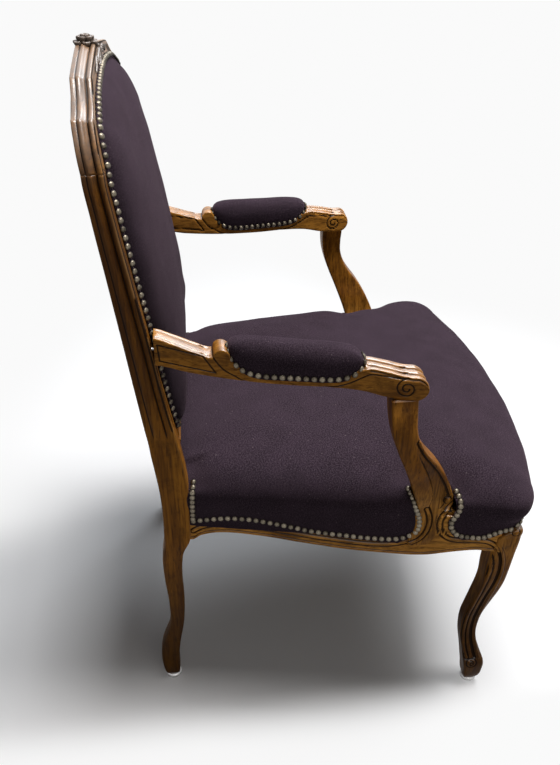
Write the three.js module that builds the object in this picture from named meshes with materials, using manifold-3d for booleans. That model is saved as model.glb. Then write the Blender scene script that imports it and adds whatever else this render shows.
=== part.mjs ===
// Open armchair in an old French manner: a moulded show-wood frame with a sprung, domed seat,
// a flat padded back and padded arms. Millimetres, +Z up, floor at z = 0.
// The sitter faces -Y, so the chair's own right side lies on -X.
import * as THREE from 'three';
import { mergeVertices } from 'three/addons/utils/BufferGeometryUtils.js';
import Module from 'manifold-3d';

const wasm = await Module();
wasm.setup();

// Clearances
const fit = 0.3; // gap between two pieces that touch
const overrun = 5; // how far a cutter runs past the piece it cuts

// Stance of the chair
const postY = 229.5; // middle of a back post at the seat
const postX = 222; // least distance from the middle of the chair to the middle of a post
const railRearY = 208; // rear end of a side rail, at the front of the post
const railFrontY = -245; // front end of a side rail, at the front leg
const railRearX = 245; // outer face of a side rail at its rear end
const railFrontX = 319; // outer face of a side rail at its front end
const footX = 290; // middle of a front foot
const footY = -257;

// Back posts: the stile of the back and the rear leg in one piece
const postTall = 890;
const postLean = 67.5; // how far the top of a post lies behind its seat level
const postDeep = 44.5;
const postSpread = 12; // outward swing of a post
const postWide = 37;
const postEdge = 5; // flat taken off the four long edges

// Height, backward place, depth, outward place and width
const postShares = [
  [0.007, 0.37, 0.42, 0.38, 0.54], [0.028, 0.40, 0.49, 0.38, 0.66], [0.062, 0.41, 0.66, 0.38, 0.76],
  [0.096, 0.35, 0.66, 0.38, 0.74], [0.143, 0.19, 0.52, 0.38, 0.63], [0.194, 0.15, 0.56, 0.40, 0.66],
  [0.257, 0.18, 0.64, 0.44, 0.72], [0.301, 0.17, 0.70, 0.52, 0.80], [0.326, 0.13, 0.75, 0.60, 0.86],
  [0.351, 0.03, 0.90, 0.67, 0.91], [0.393, 0.00, 0.93, 0.67, 0.92], [0.456, 0.00, 0.98, 0.70, 0.94],
  [0.499, 0.05, 1.00, 0.71, 0.95], [0.539, 0.12, 0.98, 0.73, 0.96], [0.579, 0.19, 0.92, 0.76, 0.98],
  [0.618, 0.27, 0.865, 0.80, 1.00], [0.674, 0.38, 0.81, 0.88, 1.00], [0.742, 0.50, 0.775, 1.00, 1.00],
  [0.854, 0.72, 0.685, 0.95, 1.00], [0.944, 0.90, 0.63, 0.67, 1.00], [1.000, 1.00, 0.62, 0.05, 1.00],
];

// Seat rails
const railTop = 385;
const railLow = 306; // lowest point of the moulded lower edge of a side rail
const railSweep = 28; // rise and fall of that edge
const railThick = 30;
const railEdge = 3;
const showTall = 31; // bare wood below the nails
const rearRailLow = 318;
const rearRailY = 243; // outer face of the rear rail
const frontBow = 38; // how far the front rail swells forward at its middle
const frontRailY = -287; // outer face of the front rail beside a leg
const frontRailLow = 310;
const frontSweep = 24;
const tenonThick = 11;
const tenonLong = 16;
const crossTenonLong = 12;
const railBury = 7; // the rails' shoulders are scribed this far round the posts and legs
const tenonTall = 38;

// Along the rail from the post to the leg, height
const sideEdgeShares = [
  [0, 0.42], [0.03, 0.74], [0.09, 1], [0.22, 0.9], [0.36, 0.54], [0.5, 0.21], [0.63, 0.04],
  [0.77, 0], [0.87, 0.32], [0.94, 0.5], [1, 0.45],
];
// Along the front rail from the leg to the middle, height
const frontEdgeShares = [[0, 0.35], [0.12, 0.6], [0.3, 1], [0.5, 0.86], [0.75, 0.3], [1, 0]];

// Front legs
const legTall = railTop;
const legSway = 15.5;
const legHalf = 22.5;
const legEdgeShare = 0.5;

// Height, outward place along the diagonal, half width
const legShares = [
  [0.016, -0.26, 0.44], [0.045, -0.2, 0.58], [0.09, -0.17, 0.72], [0.135, -0.25, 0.77], [0.19, -0.58, 0.66],
  [0.27, -1, 0.56], [0.365, -0.97, 0.6], [0.435, -0.7, 0.64], [0.5, -0.4, 0.69], [0.63, 0.17, 0.82],
  [0.715, 0.34, 0.93], [0.8, 0.52, 0.98], [0.9, 0.71, 1], [0.945, 0.68, 0.98], [0.955, 0.5, 0.86],
  [1, 0.5, 0.84],
];

// Crest rail, measured from the tops of the posts
const crestTall = 107;
const crestHalf = 241; // outer face at the joint
const crestLeanShare = 0.15;
const crestSection = 45; // wood at the middle
const crestEdge = 3;
const postTenon = 24;
const flowerWide = 25; // half width of the carved flower
const flowerDeep = 15;
const flowerTall = 11;
const petals = 6;

// Out from the middle and up from the joint: outer line, then the inner line
const crestSideShares = [[1, 0], [0.985, 0.14], [0.945, 0.3], [0.86, 0.52]];
const crestHollowShares = [[0.71, 0.56], [0.55, 0.83]];
const crestTopShares = [[0.3, 0.9], [0, 1]];
const crestInnerShares = [[0, 1], [0.3, 0.96], [0.6, 0.8], [0.76, 0.55], [0.83, 0.25], [0.848, 0]];

// Bottom rail of the back
const backRailLow = 478;
const backRailTall = 40;

// Arm supports
const supportTop = 602; // underside of the armrest over the support
const supportFoot = 343;
const supportY = -85; // middle of the support under the armrest
const supportSweep = 67; // how far its foot lies forward of its top
const supportDeep = 58;
const supportWide = 36;
const supportX = 288; // middle of the support at its foot
const supportFlare = 26; // outward swing
const supportLap = 13; // thickness of the foot let into the rail
const supportProud = 2; // it stands before the rail by the thickness of the cover
// Height, forward place, depth, outward place, share of the front corner taken off
const supportShares = [
  [0, 1, 0.97, 0, 0.3], [0.06, 1, 0.74, 0, 0.34], [0.15, 1, 0.72, 0, 0.4], [0.25, 0.97, 0.96, 0.12, 0.5],
  [0.34, 0.87, 0.97, 0.3, 0.6], [0.45, 0.7, 0.94, 0.5, 0.6], [0.56, 0.49, 0.84, 0.75, 0.45],
  [0.69, 0.2, 0.64, 0.92, 0.3], [0.81, 0.04, 0.59, 1, 0.25], [0.91, 0, 0.62, 0.85, 0.22], [1, 0, 0.64, 0.66, 0.2],
];

// Armrests, measured forward from the back post and up from the top of the support
const armUnderRise = 34; // underside of the armrest at the post
const armLong = 351.4;
const armRise = 76; // top of the armrest at the post
const armRearWide = 30;
const armFrontWide = 41;
const armRearX = 241; // middle of the armrest at the post
const armFrontX = 305;
const armEdge = 2.5;
const armRoll = 11; // radius of the cross roll behind the pad
const armRollAtShare = 0.253;
const armRollUpShare = 0.684;
const armNose = 17; // radius of the scroll at the front
const armTenon = 24;
const armUnderShares = [[0.14, 0.33], [0.32, 0.23], [0.51, 0.185], [0.65, 0.185], [0.77, 0.145], [0.86, 0.045]];
const armBackTopShares = [[0.075, 0.895], [0.15, 0.763], [0.218, 0.675]];
const armPadBedShares = [[0.295, 0.59], [0.33, 0.497], [0.5, 0.475], [0.68, 0.475], [0.75, 0.508], [0.785, 0.575]];
const armFrontTopShares = [[0.8, 0.586], [0.87, 0.52], [0.93, 0.442]];

// Arm pads
const padRear = 100; // from the post to the pad
const padLong = 176;
const padTall = 43; // above its bed
const padFall = 9; // drop of its top from rear to front
const padBed = 34; // height of the bed above the top of the support
const padPlanPower = 8;
const padSkirt = 13; // how far the cover laps down the armrest
const padHemPower = 6;
const coverThick = 1.4;
const padBulge = 2.5;
const padNailReach = 0.95; // share of the pad's half length that its side nails run over
const padNailUp = 5.5; // nails above the edge of the cover

// Seat upholstery
const seatCentreY = -30;
const seatBulge = 13; // how far the stuffed edge swells past the rails
const seatCorner = 26;
const seatCrown = 84; // height of the middle above the rails
const pullReach = 42; // the edge is drawn in over this length beside a post or a support
const sheetThick = 1; // hessian
const hessianRise = 24;
const seatHem = 6; // cover below the nails
const kneeRise = 374; // the nails climb to this height over the knee of a front leg
const kneeWide = 44; // from the corner of the seat to the end of the knee
const kneeReach = 68; // and to the end of the climb
// Nails beside the post, then beside the rear and the front of the support: forward place and height
const sideNailPlaces = [160, 100, 30, -40, -95];
const postNails = [[200, 425], [200, 414], [200, 401], [200, 392], [198, 360]];
const supportRearNails = [[-112, 342], [-127, 354], [-128, 380], [-127, 392], [-125, 401], [-120, 414], [-116, 425]];
const supportFrontNails = [[-181, 425], [-184, 414], [-187, 401], [-183, 390], [-181, 372], [-188, 354]];
// Places round its plan line: out from the middle of the rear, then forward along a side
const seatRearPlaces = [0, 205];
const seatSidePlaces = [195, 150, 60, -40, -100, -152, -192, -212, -240];
const cornerSteps = 3;
// Inward by a share of the way to the middle, outward by a share of the bulge, up by a share of the crown
const seatSectionShares = [
  [0, 0.7, 0.08], [0, 1, 0.17], [0, 0.75, 0.33], [0.02, 0, 0.5], [0.13, 0, 0.71], [0.45, 0, 0.93],
];
const seatWallShare = 0.5; // height of the upright part of the edge
const seatSinkShare = 0.3; // how much lower the shoulder lies where it is drawn in

// Springs, webbing and the dust cover
const underLevel = 338; // underside of the rails' inner rebate, which takes the webbing
const rebateWide = 14;
const webWide = 50;
const webThick = 1.6;
const webStrips = 5;
const webPitchX = 112;
const webPitchY = 106;
const dustThick = 1.4;
const springWire = 4;
const springTurns = 3;
const springEndRadius = 34;
const springWaist = 9; // how far the waist is drawn in
// Crossings of the webbing that carry a spring, counted in strips from the middle
const springCrossings = [[0, 0], [-1, 1], [1, 1], [-1, -1], [1, -1]];
const curlSteps = 8;
const wireSides = 5;

// Back upholstery
const backPadLow = 514;
const backPadSide = 212; // edge of the pad to the middle of the chair, at the bottom
const backPadTall = 458;
const backCrown = 36;
const backPower = 3;
const backHem = 11;
const backAround = 28;
const nailWide = 9.5;
const nailTall = 3;
const nailSection = [[-1, 0], [-0.6, 0.9], [0.6, 0.9], [1, 0]];
// Out from the middle and up from the bottom
const backPadOutlineShares = [
  [0.95, 0], [0.99, 0.02], [1, 0.06], [1.005, 0.2], [1.01, 0.33], [1.01, 0.55], [0.995, 0.72], [0.965, 0.82],
  [0.93, 0.87], [0.87, 0.91], [0.74, 0.935], [0.59, 0.965], [0.45, 0.98], [0.2, 0.995], [0, 1],
];
const backRowShares = [1, 0.97, 0.88, 0.7, 0.4];
const backBaseShares = [0.5, 1];
const webDeep = 7; // behind the front face of the frame
const backWebs = 3; // upright strips of webbing behind the back's pad

// Corner blocks, screws and glides
const blockLong = 62;
const blockTall = 38;
const blockTop = 380;
const screwWide = 4.5;
const screwHead = 9;
const screwLong = 48;
const screwLevel = 361;
const armScrewLong = 66;
const glideRadius = 11;
const glideTall = 6;
const glidePin = 1.6;
const glidePinLong = 11;
const roundSteps = 8;
const outlineSteps = 2;

const materials = {
  wood: new THREE.MeshStandardMaterial({ color: '#77502f', roughness: 0.42, metalness: 0 }),
  plain_wood: new THREE.MeshStandardMaterial({ color: '#b08a5c', roughness: 0.7, metalness: 0 }),
  fabric: new THREE.MeshStandardMaterial({ color: '#3a303a', roughness: 0.95, metalness: 0 }),
  brass: new THREE.MeshStandardMaterial({ color: '#8d7f66', roughness: 0.38, metalness: 0.9 }),
  stuffing: new THREE.MeshStandardMaterial({ color: '#5d4a38', roughness: 1, metalness: 0 }),
  jute: new THREE.MeshStandardMaterial({ color: '#b39a6d', roughness: 0.95, metalness: 0 }),
  cambric: new THREE.MeshStandardMaterial({ color: '#1d1d20', roughness: 0.95, metalness: 0 }),
  spring_steel: new THREE.MeshStandardMaterial({ color: '#7f7466', roughness: 0.4, metalness: 0.85 }),
  screw_steel: new THREE.MeshStandardMaterial({ color: '#8f9296', roughness: 0.35, metalness: 0.9 }),
  glide_plastic: new THREE.MeshStandardMaterial({ color: '#ecebe6', roughness: 0.4, metalness: 0 }),
};

const at = (x, y, z) => new THREE.Vector3(x, y, z);
const lerp = THREE.MathUtils.lerp;
const smoothstep = THREE.MathUtils.smoothstep;

// A smooth curve through rows of shares: the first column is the way along, the others are read from it.
function follow(rows) {
  const values = rows.flatMap((row) => row.slice(1));
  const curve = new THREE.CubicInterpolant(rows.map((row) => row[0]), values, rows[0].length - 1);
  return (share) => Array.from(curve.evaluate(share));
}

function geometryOf(points, faces) {
  let volume = 0;
  const cross = new THREE.Vector3();
  for (let i = 0; i < faces.length; i += 3) {
    const [a, b, c] = [points[faces[i]], points[faces[i + 1]], points[faces[i + 2]]];
    volume += a.dot(cross.crossVectors(b, c));
  }
  const order = volume < 0 ? faces.toReversed() : faces;
  const geometry = new THREE.BufferGeometry();
  geometry.setAttribute('position', new THREE.Float32BufferAttribute(points.flatMap((p) => [p.x, p.y, p.z]), 3));
  geometry.setIndex(order);
  return geometry;
}

// Skin over a row of rings that all have the same number of points, closed at both ends,
// or joined from its last ring to its first.
function loft(rings, joined = false) {
  const around = rings[0].length;
  const points = rings.flat();
  const faces = [];
  for (let i = 0; i + Number(!joined) < rings.length; i += 1) {
    const above = ((i + 1) % rings.length) * around;
    for (let j = 0; j < around; j += 1) {
      const k = (j + 1) % around;
      faces.push(i * around + j, i * around + k, above + k, i * around + j, above + k, above + j);
    }
  }
  if (joined) {
    return geometryOf(points, faces);
  }
  const last = (rings.length - 1) * around;
  const lowEnd = points.push(middleOf(rings[0])) - 1;
  const highEnd = points.push(middleOf(rings.at(-1))) - 1;
  for (let j = 0; j < around; j += 1) {
    const k = (j + 1) % around;
    faces.push(lowEnd, k, j, highEnd, last + j, last + k);
  }
  return geometryOf(points, faces);
}

function middleOf(ring) {
  const sum = new THREE.Vector3();
  ring.forEach((point) => sum.add(point));
  return sum.divideScalar(ring.length);
}

// Rectangle with its four corners cut, level, about a middle point.
function levelRing(middle, halfX, halfY, edge) {
  const corners = [[1, 1], [-1, 1], [-1, -1], [1, -1]];
  return corners.flatMap(([sx, sy]) => {
    const onX = at(middle.x + sx * halfX, middle.y + sy * (halfY - edge), middle.z);
    const onY = at(middle.x + sx * (halfX - edge), middle.y + sy * halfY, middle.z);
    return sx === sy ? [onX, onY] : [onY, onX];
  });
}

// Upright rectangle with cut corners, square to X or to Y.
function uprightRing(across, place, outer, inner, low, high, edge) {
  const turn = Math.sign(outer - inner);
  const corners = [
    [outer, low + edge], [outer, high - edge], [outer - turn * edge, high], [inner + turn * edge, high],
    [inner, high - edge], [inner, low + edge], [inner + turn * edge, low], [outer - turn * edge, low],
  ];
  return corners.map(([u, z]) => (across === 'x' ? at(place, u, z) : at(u, place, z)));
}

function block(corner, opposite, grow = 0) {
  const room = new THREE.Box3().setFromPoints([corner, opposite]).expandByScalar(grow);
  const size = room.getSize(new THREE.Vector3());
  const middle = room.getCenter(new THREE.Vector3());
  return new THREE.BoxGeometry(size.x, size.y, size.z).translate(middle.x, middle.y, middle.z);
}

function solid(geometry) {
  const bare = geometry.clone();
  bare.deleteAttribute('normal');
  bare.deleteAttribute('uv');
  const merged = mergeVertices(bare, fit / 100);
  const mesh = new wasm.Mesh({
    numProp: 3,
    vertProperties: new Float32Array(merged.attributes.position.array),
    triVerts: new Uint32Array(merged.index.array),
  });
  return new wasm.Manifold(mesh);
}

function cut(geometry, ...cutters) {
  return geometryFrom(cutters.reduce((rest, cutter) => rest.subtract(solid(cutter)), solid(geometry)));
}

function join(geometry, ...others) {
  return geometryFrom(others.reduce((sum, other) => sum.add(solid(other)), solid(geometry)));
}

function common(geometry, other) {
  return geometryFrom(solid(geometry).intersect(solid(other)));
}

function geometryFrom(result) {
  const mesh = result.getMesh();
  const geometry = new THREE.BufferGeometry();
  geometry.setAttribute('position', new THREE.Float32BufferAttribute(mesh.vertProperties, 3));
  geometry.setIndex(Array.from(mesh.triVerts));
  return geometry;
}

// The other side's copy of a right-hand piece.
function mirrored(geometry) {
  const copy = geometry.clone();
  const place = copy.attributes.position;
  for (let i = 0; i < place.count; i += 1) {
    place.setX(i, -place.getX(i));
  }
  copy.setIndex(Array.from(copy.index.array).toReversed());
  return copy;
}

const chair = new THREE.Group();

function add(name, geometry, material) {
  const mesh = new THREE.Mesh(geometry, materials[material]);
  mesh.name = name;
  chair.add(mesh);
  return geometry;
}

function addPair(name, geometry, material) {
  add(`${name}_right`, geometry, material);
  add(`${name}_left`, mirrored(geometry), material);
}

// Side rail: its outer face in plan, and its moulded lower edge.
const railX = (y) => lerp(railRearX, railFrontX, (railRearY - y) / (railRearY - railFrontY));
const sideEdge = follow(sideEdgeShares);
const sideLow = (y) => railLow + railSweep * sideEdge((railRearY - y) / (railRearY - railFrontY))[0];
const frontEdge = follow(frontEdgeShares);
const blockInner = footX - legHalf + legSway / 2; // inner face of a front leg's block
const frontLow = (x) => frontRailLow + frontSweep * frontEdge(1 - Math.abs(x) / blockInner)[0];
const frontY = (x) => frontRailY - frontBow * (1 - (x / footX) ** 2);

// Back post at a height: middle, depth and width.
const postCurve = follow(postShares);
function postAt(z) {
  const [back, deep, out, wide] = postCurve(z / postTall);
  return {
    x: postX + out * postSpread,
    y: postY + back * postLean,
    halfX: (wide * postWide) / 2,
    halfY: (deep * postDeep) / 2,
  };
}
const postFront = (z) => postAt(z).y - postAt(z).halfY;
const postRear = (z) => postAt(z).y + postAt(z).halfY;
const armRearY = postFront(supportTop + armUnderRise);
const crestRear = (z) => (z > postTall ? postRear(postTall) + crestLeanShare * (z - postTall) : postRear(z));

function postShape(grow = 0) {
  const heights = postShares.map(([share]) => share * postTall);
  heights[0] = glideTall + fit;
  return loft(heights.map((z, i) => {
    const { x, y, halfX, halfY } = postAt(z);
    const lift = (i === 0 ? -1 : Number(i === heights.length - 1)) * grow;
    return levelRing(at(-x, y, z + lift), halfX + grow, halfY + grow, postEdge);
  }));
}

function frontLegShape(grow = 0) {
  const curve = follow(legShares);
  const heights = legShares.map(([share]) => share * legTall);
  heights[0] = glideTall + fit;
  return loft(heights.map((z, i) => {
    const [out, wide] = curve(z / legTall);
    const half = wide * legHalf + grow;
    const lift = (i === 0 ? -1 : Number(i === heights.length - 1)) * grow;
    return levelRing(at(-footX - out * legSway, footY - out * legSway, z + lift), half, half, half * legEdgeShare);
  }));
}

function sideRailShape(grow = 0) {
  const places = sideEdgeShares.map(([share]) => lerp(railRearY, railFrontY, share));
  places[0] += railBury;
  places.push(places.pop() - railBury);
  return loft(places.map((y) => uprightRing(
    'y', y, -railX(y) - grow, -railX(y) + railThick + grow, sideLow(y) - grow, railTop + grow, railEdge,
  )));
}

const frontPlaces = frontEdgeShares.map(([share]) => blockInner * (1 - share));
function frontRailShape(grow = 0) {
  const half = [...frontPlaces];
  half[0] += railBury;
  const places = [...half, ...half.slice(0, -1).map((x) => -x).toReversed()];
  return loft(places.map((x) => uprightRing(
    'x', x, frontY(x) - grow, frontY(x) + railThick + grow, frontLow(x) - grow, railTop + grow, railEdge,
  )));
}

function rearRailShape(grow = 0) {
  const half = postAt(railTop).x - postAt(railTop).halfX - fit;
  return loft([-half, half].map((x) => uprightRing(
    'x', x, rearRailY + grow, rearRailY - railThick - grow, rearRailLow - grow, railTop + grow, railEdge,
  )));
}

// Arm support: its section has the outer front corner taken off for the moulded face.
function supportShape(grow = 0) {
  return loft(supportShares.map(([share, forward, deep, out, corner], i, list) => {
    const z = lerp(supportFoot, supportTop - fit, share);
    const lift = (i === 0 ? -1 : Number(i === list.length - 1)) * grow;
    const halfY = (deep * supportDeep) / 2 + grow;
    const y = supportY - forward * supportSweep;
    const inRail = z < railTop;
    const outer = (inRail || out === 0 ? railX(y) + supportProud : supportX + out * supportFlare + supportWide / 2) + grow;
    const inner = outer - 2 * grow - (inRail ? supportLap + supportProud : supportWide);
    const rise = z + lift;
    const notch = corner * 2 * halfY;
    return [
      at(-outer, y + halfY - railEdge, rise), at(-outer, y - halfY + notch, rise),
      at(-outer + notch / 3, y - halfY, rise), at(-inner - railEdge, y - halfY, rise),
      at(-inner, y - halfY + railEdge, rise), at(-inner, y + halfY - railEdge, rise),
      at(-inner - railEdge, y + halfY, rise), at(-outer + railEdge, y + halfY, rise),
    ];
  }));
}

// Board of an outline with its edges taken off; points closer together than half that edge are left out.
function plank(outline, thick, edge, grow) {
  const points = outline.getPoints(outlineSteps);
  const kept = points.filter((p, i) => i === 0 || p.distanceTo(points[i - 1]) > edge / 2);
  if (kept.at(-1).distanceTo(kept[0]) < edge / 2) {
    kept.pop();
  }
  return new THREE.ExtrudeGeometry(new THREE.Shape(kept), {
    depth: thick - 2 * edge + 2 * grow,
    bevelThickness: edge,
    bevelSize: edge,
    bevelOffset: grow - edge,
    bevelSegments: 1,
  });
}

// Armrest: the side outline sawn from a plank that widens and swings out towards the front.
const armX = (y) => lerp(armRearX, armFrontX, (armRearY - y) / armLong);
const armHalf = (y) => lerp(armRearWide, armFrontWide, (armRearY - y) / armLong) / 2;

function armShape(grow = 0) {
  const spot = ([along, up]) => new THREE.Vector2(along * armLong, up * armRise);
  const nose = spot([1, 0]).add(new THREE.Vector2(-armNose, armNose));
  const rollMiddle = spot([armRollAtShare, armRollUpShare]);
  const outline = new THREE.Shape();
  outline.moveTo(fit, armUnderRise);
  outline.splineThru(armUnderShares.map(spot));
  outline.lineTo(nose.x, nose.y - armNose);
  outline.absarc(nose.x, nose.y, armNose, -Math.PI / 2, Math.PI / 2.4, false);
  outline.splineThru(armFrontTopShares.toReversed().map(spot));
  outline.splineThru(armPadBedShares.toReversed().map(spot));
  outline.absarc(rollMiddle.x, rollMiddle.y, armRoll, 0, Math.PI, false);
  outline.splineThru(armBackTopShares.toReversed().map(spot));
  const lean = postFront(supportTop + armRise) - armRearY;
  outline.lineTo(fit - lean, armRise);
  return shaped(plank(outline, armRearWide, armEdge, grow), (p) => {
    const side = p.z - armRearWide / 2 + armEdge - grow;
    const y = armRearY - p.x;
    const wider = (armHalf(y) + grow) / (armRearWide / 2 + grow);
    return at(-armX(y) + side * wider, y, supportTop + p.y);
  });
}

// Moves each corner of a geometry to where the rule puts it.
function shaped(geometry, rule) {
  const bare = geometry.clone();
  bare.deleteAttribute('normal');
  bare.deleteAttribute('uv');
  const merged = mergeVertices(bare, fit / 100);
  const place = merged.attributes.position;
  const points = [];
  for (let i = 0; i < place.count; i += 1) {
    points.push(rule(new THREE.Vector3().fromBufferAttribute(place, i)));
  }
  return geometryOf(points, Array.from(merged.index.array));
}

// Crest rail: the arched outline, leaned and bowed, with its carved flower.
function crestShape(grow = 0) {
  const spot = ([out, up]) => new THREE.Vector2(out * crestHalf, up * crestTall);
  const innerSpot = ([out, up]) => new THREE.Vector2(out * crestHalf, up * (crestTall - crestSection));
  const flip = (p) => new THREE.Vector2(-p.x, p.y);
  const right = [...crestSideShares, ...crestHollowShares].map(spot);
  const outline = new THREE.Shape();
  const hollow = crestHollowShares.map(spot);
  const top = crestTopShares.map(spot);
  outline.moveTo(right[0].x, right[0].y + fit);
  outline.splineThru(crestSideShares.slice(1).map(spot));
  outline.quadraticCurveTo(hollow[0].x, hollow[0].y, hollow[1].x, hollow[1].y);
  outline.quadraticCurveTo(top[0].x, top[0].y + crestEdge, top[1].x, top[1].y);
  outline.quadraticCurveTo(-top[0].x, top[0].y + crestEdge, -hollow[1].x, hollow[1].y);
  outline.quadraticCurveTo(-hollow[0].x, hollow[0].y, flip(spot(crestSideShares.at(-1))).x, spot(crestSideShares.at(-1)).y);
  outline.splineThru(crestSideShares.slice(1, -1).toReversed().map(spot).map(flip));
  outline.lineTo(-right[0].x, right[0].y + fit);
  const inner = crestInnerShares.map(innerSpot);
  outline.lineTo(-inner.at(-1).x, inner.at(-1).y + fit);
  outline.splineThru([...inner.slice(1, -1).toReversed().map(flip), ...inner.slice(0, -1)]);
  outline.lineTo(inner.at(-1).x, inner.at(-1).y + fit);
  const deep = 2 * postAt(postTall).halfY;
  return shaped(plank(outline, deep, crestEdge, grow), (p) => {
    const z = postTall + p.y;
    return at(p.x, crestRear(z) + grow - (p.z + crestEdge), z);
  });
}

// Carved flower on top of the crest: a bud inside a ring of petals.
function flowerShape() {
  const z = postTall + crestTall;
  const y = crestRear(z) - postAt(postTall).halfY;
  const bud = new THREE.SphereGeometry(flowerTall / 2, 6, 4).translate(0, y, z + flowerTall / 3);
  const ring = Array.from({ length: petals }, (_, i) => {
    const angle = (i / petals) * 2 * Math.PI;
    const petal = new THREE.SphereGeometry(1, 6, 4);
    petal.scale(flowerWide * 0.42, flowerDeep * 0.42, flowerTall / 2.4);
    return petal.translate(Math.cos(angle) * flowerWide * 0.55, y + Math.sin(angle) * flowerDeep * 0.5, z);
  });
  return [bud, ...ring];
}

function backRailShape(grow = 0) {
  const half = postAt(backRailLow).x - postAt(backRailLow).halfX - fit;
  const high = backRailLow + backRailTall;
  return loft([-half, half].map((x) => {
    const ring = uprightRing('x', x, postFront(high) - grow, postRear(high) + grow, backRailLow - grow, high + grow, railEdge);
    ring.forEach((point) => {
      point.y += postFront(point.z) - postFront(high);
    });
    return ring;
  }));
}

// Tenons of the frame, each with the piece it grows from on the first side.
function sideTenon(endY, way, grow = 0) {
  const x = railX(endY) - railThick / 2;
  const low = (railLow + railSweep + railTop) / 2 - tenonTall / 2;
  return block(
    at(-x - tenonThick / 2, endY - way * overrun, low),
    at(-x + tenonThick / 2, endY + way * tenonLong, low + tenonTall), grow,
  );
}

function crossTenon(endX, way, y, low, tall, long, grow = 0) {
  return block(at(endX - way * overrun, y - tenonThick / 2, low), at(endX + way * long, y + tenonThick / 2, low + tall), grow);
}

const rearRailEnd = postAt(railTop).x - postAt(railTop).halfX - fit;
const rearTenon = (side, grow) => crossTenon(
  side * rearRailEnd, side, rearRailY - railThick / 3, railTop - tenonTall - railEdge, tenonTall, crossTenonLong, grow,
);
const frontTenon = (side, grow) => crossTenon(
  side * blockInner, side, frontRailY + railThick / 2, railTop - tenonTall - railEdge, tenonTall, crossTenonLong, grow,
);
const backRailEnd = postAt(backRailLow).x - postAt(backRailLow).halfX - fit;
const backRailTenon = (side, grow) => crossTenon(
  side * backRailEnd, side, postAt(backRailLow + backRailTall / 2).y,
  backRailLow + backRailTall / 4, backRailTall / 2, crossTenonLong, grow,
);
const postTopTenon = (grow) => {
  const { x, y, halfX } = postAt(postTall);
  return block(
    at(-x - halfX / 2, y - tenonThick / 2, postTall - overrun),
    at(-x + halfX / 2, y + tenonThick / 2, postTall + postTenon), grow,
  );
};
const armMiddle = supportTop + armRise * 0.68;
const armTenonBlock = (grow) => block(
  at(-armX(armRearY) - tenonThick / 2, armRearY - overrun, armMiddle - tenonThick),
  at(-armX(armRearY) + tenonThick / 2, armRearY + armTenon, armMiddle + tenonThick), grow,
);
const supportTenon = (grow) => block(
  at(-armX(supportY) - tenonThick / 2, supportY - tenonThick, supportTop - overrun),
  at(-armX(supportY) + tenonThick / 2, supportY + tenonThick, supportTop + armTenon), grow,
);

// Countersunk screw, pointing along +Z from its head at z = 0.
function screwShape(long, grow = 0) {
  const head = screwHead / 2 + grow;
  const shank = screwWide / 2 + grow;
  const sink = (screwHead - screwWide) / 2;
  const profile = [
    [0, -grow], [head, -grow], [head, sink / 3], [shank, sink + grow], [shank, long - screwWide], [0, long + grow],
  ];
  return new THREE.LatheGeometry(profile.map(([r, z]) => new THREE.Vector2(r, z)), roundSteps).rotateX(Math.PI / 2);
}

function screwAt(place, way, long, grow = 0) {
  const turn = new THREE.Quaternion().setFromUnitVectors(at(0, 0, 1), way);
  return screwShape(long, grow).applyQuaternion(turn).translate(place.x, place.y, place.z);
}

// Room for the head of a screw and the driver behind it.
function headWell(place, way) {
  const well = new THREE.CylinderGeometry(screwHead / 2 + 2 * fit, screwHead / 2 + 2 * fit, blockLong, roundSteps);
  well.translate(0, blockLong / 2 - fit, 0);
  const turn = new THREE.Quaternion().setFromUnitVectors(at(0, 1, 0), way.clone().negate());
  return well.applyQuaternion(turn).translate(place.x, place.y, place.z);
}

const armScrew = { way: at(0, -1, 0), long: armScrewLong };
armScrew.place = at(-armX(armRearY), postRear(armMiddle) - 2 * fit - screwHead / 2, armMiddle);

// Corner blocks and their screws, on the right-hand side. Each block is glued between two rails.
const corners = {
  rear: { point: at(-railX(railRearY) + railThick, rearRailY - railThick, 0), way: -1 },
  front: { point: at(-railX(railFrontY) + railThick, frontY(blockInner - blockLong / 2) + railThick, 0), way: 1 },
};

function blockShape({ point, way }) {
  const outline = new THREE.Shape();
  outline.moveTo(-overrun, -overrun);
  outline.lineTo(blockLong, -overrun);
  outline.lineTo(blockLong, overrun);
  outline.lineTo(overrun, blockLong);
  outline.lineTo(-overrun, blockLong);
  const geometry = new THREE.ExtrudeGeometry(outline, { depth: blockTall, bevelEnabled: false });
  return shaped(geometry, (p) => at(point.x + p.x, point.y + way * p.y, blockTop - blockTall + p.z));
}

// One screw through the block into the corner of the post or the leg.
function blockScrew({ point, way }) {
  const sunk = (blockLong + overrun - screwHead) / 2;
  return { place: at(point.x + sunk, point.y + way * sunk, screwLevel), way: at(-1, -way, 0).normalize(), long: screwLong };
}

function glideShape(grow = 0) {
  const radius = glideRadius;
  const profile = [
    [0, 0], [radius - glideTall / 4, 0], [radius, glideTall / 4], [radius, glideTall - glideTall / 6],
    [radius - glideTall / 6, glideTall], [glidePin + grow, glideTall], [glidePin + grow, glideTall + glidePinLong],
    [0, glideTall + glidePinLong + glidePin + grow],
  ];
  return new THREE.LatheGeometry(profile.map(([r, z]) => new THREE.Vector2(r, z)), roundSteps).rotateX(Math.PI / 2);
}
const rearFoot = postAt(glideTall);
const glidePlaces = {
  rear: at(-rearFoot.x, rearFoot.y, 0),
  front: at(-footX - legShares[0][1] * legSway, footY - legShares[0][1] * legSway, 0),
};
const glideAt = (end, grow) => glideShape(grow).translate(glidePlaces[end].x, glidePlaces[end].y, 0);

// Plan line of the seat, from the middle of the rear round the right-hand side to the middle of the front.
const bend = (from, turn, to) => new THREE.QuadraticBezierCurve(from, turn, to).getPoints(cornerSteps).slice(1, -1);

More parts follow.
